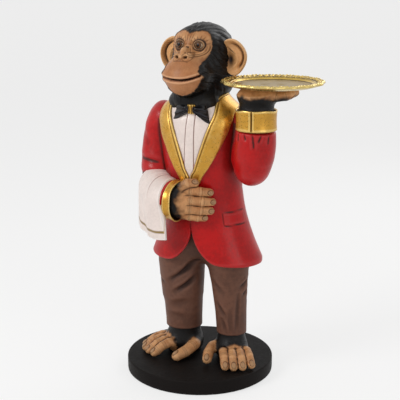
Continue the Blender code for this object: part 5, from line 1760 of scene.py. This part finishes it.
# Great toes: points of the middle line with their radius, from the root
GREAT_TOES = {
    "right": (
        (-0.03, -0.022, 0.03, 0.015), (-0.056, -0.008, 0.03, 0.015), (-0.074, 0.022, 0.022, 0.0145),
        (-0.081, 0.05, 0.014, 0.0135),
    ),
    "left": (
        (-0.022, -0.012, 0.03, 0.014), (-0.05, 0.0, 0.031, 0.0138), (-0.066, 0.024, 0.023, 0.0135),
        (-0.073, 0.044, 0.0135, 0.0125),
    ),
}


ANKLE_RADII = {"right": 0.0425, "left": 0.036}
ANKLE_TOP = 0.094


def build_foot(name, side):
    """Heel, instep, four long toes that arch down to the plinth, and the great toe apart like a
    thumb. The fur ends in a ragged edge over the toes' roots."""
    splay = math.radians(FOOT_SPLAY[name])
    outwards = np.array((side * math.cos(splay), math.sin(splay), 0.0))
    forwards = np.array((side * math.sin(splay), -math.cos(splay), 0.0))
    axes = np.array((outwards, forwards, (0.0, 0.0, 1.0)))
    base = np.array((*ankle(side), PLINTH_TOP + 0.0004))

    def place(keys):
        keys = np.array(keys, float)
        return np.concatenate([base + keys[:, :3] @ axes, keys[:, 3:]], 1)

    toes = []
    for (rx, ry), (tx, ty) in TOES[name]:
        keys = [(rx, ry, 0.03, 0.012)]
        for share, height, radius in TOE_ARCH:
            keys.append((rx + (tx - rx) * share, ry + (ty - ry) * share, height, radius))
        toes.append(place(keys))
    great = place(GREAT_TOES[name])

    def distance(p):
        own = (p - base) @ axes.T
        shape = ball(own, (0.0, -0.006, 0.022), (0.041, 0.043, 0.034))
        shape = blend(shape, ball(own, (0.0, 0.022, 0.027), (0.04, 0.038, 0.029)), 0.016)
        shin = ((0.0, 0.0, 0.03, ANKLE_RADII[name]), (0.0, 0.0, 0.115, ANKLE_RADII[name]))
        shape = blend(shape, limb(own, shin)[0], 0.02)
        for keys in toes:
            shape = blend(shape, limb(p, keys)[0], 0.0045)
        shape = blend(shape, limb(p, great)[0], 0.01)
        shape = np.maximum(shape, own[..., 2] - ANKLE_TOP)
        return np.maximum(shape, -own[..., 2])

    def skin_of(p):
        own = (p - base) @ axes.T
        rag = 0.004 * ripple(p, 150.0, 2)
        ahead = smoothstep(0.036, 0.046, own[:, 1] + rag - 0.35 * (own[:, 2] - 0.03))
        _, share = limb(p, great)
        thumb = smoothstep(0.006, 0.0, limb(p, great)[0]) * smoothstep(0.18, 0.3, share + rag * 8)
        return np.maximum(ahead, thumb)

    digits = [(keys, (0.0, 0.0, 1.0), (0.42, 0.7)) for keys in toes]
    digits.append((great, (0.0, 0.0, 1.0), (0.45, 0.75)))
    everything = np.concatenate([*toes, great])
    low = np.minimum(everything[:, :3].min(0) - 0.018, base - 0.048)
    high = np.maximum(everything[:, :3].max(0) + 0.018, base + 0.048)
    low[2], high[2] = base[2] - 0.004, base[2] + 0.098
    build_limb_piece(name + "_foot_surface", distance, (low, high), 0.0015, digits, skin_of, name + "_foot")


def build_plinth():
    """A turned disc whose rounded edge is a little uneven, as painted timber or resin is."""
    radius = PLINTH_RADIUS
    low, high = 0.002, PLINTH_TOP
    profile = [(0.02, low), (radius * 0.5, low), (radius - 0.003, low), (radius - 0.0005, low + 0.0015)]
    profile += [(radius, low + (high - low) * k) for k in (0.15, 0.35, 0.55, 0.75)]
    for t in np.linspace(0, math.pi / 2, 9):
        profile.append((radius - 0.0045 * (1 - math.cos(t)), high - 0.0045 * (1 - math.sin(t))))
    profile += [(radius * k, high) for k in np.linspace(0.96, 0.02, 40)]
    profile = np.array(profile)
    turn = full_turn(360)
    x = profile[:, :1] * np.cos(turn)
    y = profile[:, :1] * np.sin(turn)
    z = profile[:, 1:] + 0 * turn
    grid = np.stack([x, y, z], -1)
    on_top = profile[:, 1:] > high - 0.0001
    grid[..., 2] += np.where(on_top, 0.00025 * ripple(grid, 30.0) - 0.0003, 0.0)
    points, faces = closed_grid(grid)
    masks = {"line": np.zeros(len(points))}
    dress("plinth_surface", points, faces, once(plinth_paint), ["plinth"], masks, 0.001)


# Stage

FLOOR_HALF = 40.0
FLOOR_GLOW = 0.7
SURROUND_LIGHT = 0.42
LAMPS = (
    ("key", (-1.5, -2.2, 2.1), (0.0, 0.0, 0.55), 42.0, 1.1),
    ("fill", (2.2, -1.2, 1.2), (0.05, 0.0, 0.5), 9.0, 1.2),
    ("rim", (0.6, 2.2, 2.0), (0.0, 0.0, 0.5), 14.0, 1.4),
)
CAMERA_PLACE = (1.0516, -2.2552, 1.0802)
CAMERA_DOWN = math.radians(13.93)
CAMERA_ROUND = math.radians(25)
CAMERA_LENS = 88.4
CAMERA_SENSOR = 36.0


def seen_directly(tree):
    """1 where the camera, a reflection or glass looks at a surface, and 0 for its light."""
    ray = tree.nodes.new("ShaderNodeLightPath").outputs
    seen = math_node(tree, "MAXIMUM", ray["Is Camera Ray"], ray["Is Glossy Ray"])
    return math_node(tree, "MAXIMUM", seen, ray["Is Transmission Ray"])


def build_stage():
    """A pale floor, a white surround that only the camera and reflections see, soft lamps and the
    camera at the photograph's angle."""
    scene = bpy.context.scene
    mesh = bpy.data.meshes.new("floor")
    corners = [(x * FLOOR_HALF, y * FLOOR_HALF, 0.0) for x, y in ((-1, -1), (1, -1), (1, 1), (-1, 1))]
    mesh.from_pydata(corners, [], [(0, 1, 2, 3)])
    floor = bpy.data.objects.new("floor", mesh)
    scene.collection.objects.link(floor)
    material, tree, shader, place, _ = new_material("floor_paint")
    cloud = noise(tree, place, 1.5)
    pale = opaque(settings().floor)
    worn = opaque(np.array(settings().floor) * 0.97)
    tree.links.new(mix(tree, cloud, pale, worn), shader.inputs["Base Color"])
    shader.inputs["Roughness"].default_value = 0.6
    seen = seen_directly(tree)
    glow = put(tree, "ShaderNodeEmission", {"Color": (1, 1, 1, 1), "Strength": 1.0}).outputs[0]
    share = math_node(tree, "MULTIPLY", seen, FLOOR_GLOW)
    links = {0: share, 1: shader.outputs[0], 2: glow}
    floor_shader = put(tree, "ShaderNodeMixShader", links).outputs[0]
    tree.links.new(floor_shader, tree.nodes["Material Output"].inputs["Surface"])
    mesh.materials.append(material)

    world = bpy.data.worlds.new("studio")
    scene.world = world
    world.use_nodes = True
    tree = world.node_tree
    background = tree.nodes["Background"]
    seen = seen_directly(tree)
    strength = math_node(tree, "MULTIPLY_ADD", seen, 1 - SURROUND_LIGHT, SURROUND_LIGHT)
    tree.links.new(strength, background.inputs["Strength"])
    background.inputs["Color"].default_value = (1, 1, 1, 1)

    for name, place, aim, power, size in LAMPS:
        data = bpy.data.lights.new(name, "AREA")
        data.energy = power
        data.size = size
        lamp = bpy.data.objects.new(name, data)
        lamp.location = place
        away = unit(np.array(place) - np.array(aim))
        lamp.rotation_euler = (math.acos(away[2]), 0.0, math.atan2(away[0], -away[1]))
        scene.collection.objects.link(lamp)

    camera = bpy.data.cameras.new("camera")
    camera.lens = CAMERA_LENS
    camera.sensor_width = CAMERA_SENSOR
    view = bpy.data.objects.new("camera", camera)
    view.location = CAMERA_PLACE
    view.rotation_euler = (math.pi / 2 - CAMERA_DOWN, 0.0, CAMERA_ROUND)
    scene.collection.objects.link(view)
    scene.camera = view
    scene.view_settings.view_transform = "Standard"


# Add-on


def build_both(build):
    for name, side in SIDES:
        build(name, side)


def build_bow():
    build_bow_knot()
    build_both(build_bow_wing)


def build_hands():
    build_right_hand()
    build_left_hand()


def build_hardware():
    steel = [name + part for name, _ in SIDES for part in ("_stud", "_washer", "_nut")]
    carried_over("zinc_steel", srgb(0.68, 0.68, 0.7), 0.35, 1.0, 400.0, *steel, "tray_rod")
    carried_over("felt", srgb(0.18, 0.18, 0.18), 0.85, 0.0, 900.0, "base_felt")


class FIGURINE_OT_stage(Operator):
    """Builds the floor, the lamps, the surround and the camera"""

    bl_idname = "figurine.stage"
    bl_label = "Stage"

    def execute(self, context):
        build_stage()
        return {"FINISHED"}


class FIGURINE_OT_plinth(Operator):
    """Builds the round plinth"""

    bl_idname = "figurine.plinth"
    bl_label = "Plinth"

    def execute(self, context):
        build_plinth()
        return {"FINISHED"}


class FIGURINE_OT_hardware(Operator):
    """Finishes the studs, nuts, washers, rod and felt"""

    bl_idname = "figurine.hardware"
    bl_label = "Hardware"

    def execute(self, context):
        build_hardware()
        return {"FINISHED"}


class FIGURINE_OT_head(Operator):
    """Builds the head with its face and fur"""

    bl_idname = "figurine.head"
    bl_label = "Head"

    def execute(self, context):
        build_head()
        return {"FINISHED"}


class FIGURINE_OT_eyes(Operator):
    """Builds both glass eyes"""

    bl_idname = "figurine.eyes"
    bl_label = "Eyes"

    def execute(self, context):
        build_both(build_eye)
        return {"FINISHED"}


class FIGURINE_OT_ears(Operator):
    """Builds both ears"""

    bl_idname = "figurine.ears"
    bl_label = "Ears"

    def execute(self, context):
        build_both(build_ear)
        return {"FINISHED"}


class FIGURINE_OT_coat(Operator):
    """Builds the red coat"""

    bl_idname = "figurine.coat"
    bl_label = "Coat"

    def execute(self, context):
        build_coat()
        return {"FINISHED"}


class FIGURINE_OT_collar(Operator):
    """Builds both halves of the gold shawl collar"""

    bl_idname = "figurine.collar"
    bl_label = "Collar"

    def execute(self, context):
        build_both(build_lapel)
        return {"FINISHED"}


class FIGURINE_OT_shirt(Operator):
    """Builds the shirt front with its placket"""

    bl_idname = "figurine.shirt"
    bl_label = "Shirt"

    def execute(self, context):
        build_shirt()
        return {"FINISHED"}


class FIGURINE_OT_bow_tie(Operator):
    """Builds the knot and the wings of the bow tie"""

    bl_idname = "figurine.bow_tie"
    bl_label = "Bow tie"

    def execute(self, context):
        build_bow()
        return {"FINISHED"}


class FIGURINE_OT_sleeves(Operator):
    """Builds both sleeves"""

    bl_idname = "figurine.sleeves"
    bl_label = "Sleeves"

    def execute(self, context):
        build_both(build_sleeve)
        return {"FINISHED"}


class FIGURINE_OT_cuffs(Operator):
    """Builds both gold cuffs"""

    bl_idname = "figurine.cuffs"
    bl_label = "Cuffs"

    def execute(self, context):
        build_both(build_cuff)
        return {"FINISHED"}


class FIGURINE_OT_hands(Operator):
    """Builds both hands"""

    bl_idname = "figurine.hands"
    bl_label = "Hands"

    def execute(self, context):
        build_hands()
        return {"FINISHED"}


class FIGURINE_OT_towel(Operator):
    """Builds the towel over the right arm"""

    bl_idname = "figurine.towel"
    bl_label = "Towel"

    def execute(self, context):
        build_towel()
        return {"FINISHED"}


class FIGURINE_OT_tray(Operator):
    """Builds the round tray"""

    bl_idname = "figurine.tray"
    bl_label = "Tray"

    def execute(self, context):
        build_tray()
        return {"FINISHED"}


class FIGURINE_OT_trousers(Operator):
    """Builds the brown trousers"""

    bl_idname = "figurine.trousers"
    bl_label = "Trousers"

    def execute(self, context):
        build_trousers()
        return {"FINISHED"}


class FIGURINE_OT_feet(Operator):
    """Builds both feet"""

    bl_idname = "figurine.feet"
    bl_label = "Feet"

    def execute(self, context):
        build_both(build_foot)
        return {"FINISHED"}


OPERATORS = (
    FIGURINE_OT_stage,
    FIGURINE_OT_plinth,
    FIGURINE_OT_hardware,
    FIGURINE_OT_head,
    FIGURINE_OT_eyes,
    FIGURINE_OT_ears,
    FIGURINE_OT_coat,
    FIGURINE_OT_collar,
    FIGURINE_OT_shirt,
    FIGURINE_OT_bow_tie,
    FIGURINE_OT_sleeves,
    FIGURINE_OT_cuffs,
    FIGURINE_OT_hands,
    FIGURINE_OT_towel,
    FIGURINE_OT_tray,
    FIGURINE_OT_trousers,
    FIGURINE_OT_feet,
)


class FIGURINE_PT_pieces(Panel):
    """Sidebar list of the figurine's settings and pieces"""

    bl_label = "Waiter Figurine"
    bl_idname = "FIGURINE_PT_pieces"
    bl_space_type = "VIEW_3D"
    bl_region_type = "UI"
    bl_category = "Figurine"

    def draw(self, context):
        column = self.layout.column()
        for key in FigurineSettings.__annotations__:
            column.prop(context.scene.figurine, key)
        for operator in OPERATORS:
            column.operator(operator.bl_idname)


def register():
    for item in (FigurineSettings, *OPERATORS, FIGURINE_PT_pieces):
        bpy.utils.register_class(item)
    bpy.types.Scene.figurine = PointerProperty(type=FigurineSettings)


def unregister():
    del bpy.types.Scene.figurine
    for item in (FIGURINE_PT_pieces, *OPERATORS, FigurineSettings):
        bpy.utils.unregister_class(item)


def main():
    register()
    for operator in OPERATORS:
        getattr(bpy.ops.figurine, operator.bl_idname.split(".")[1])()


if __name__ == "__main__":
    main()
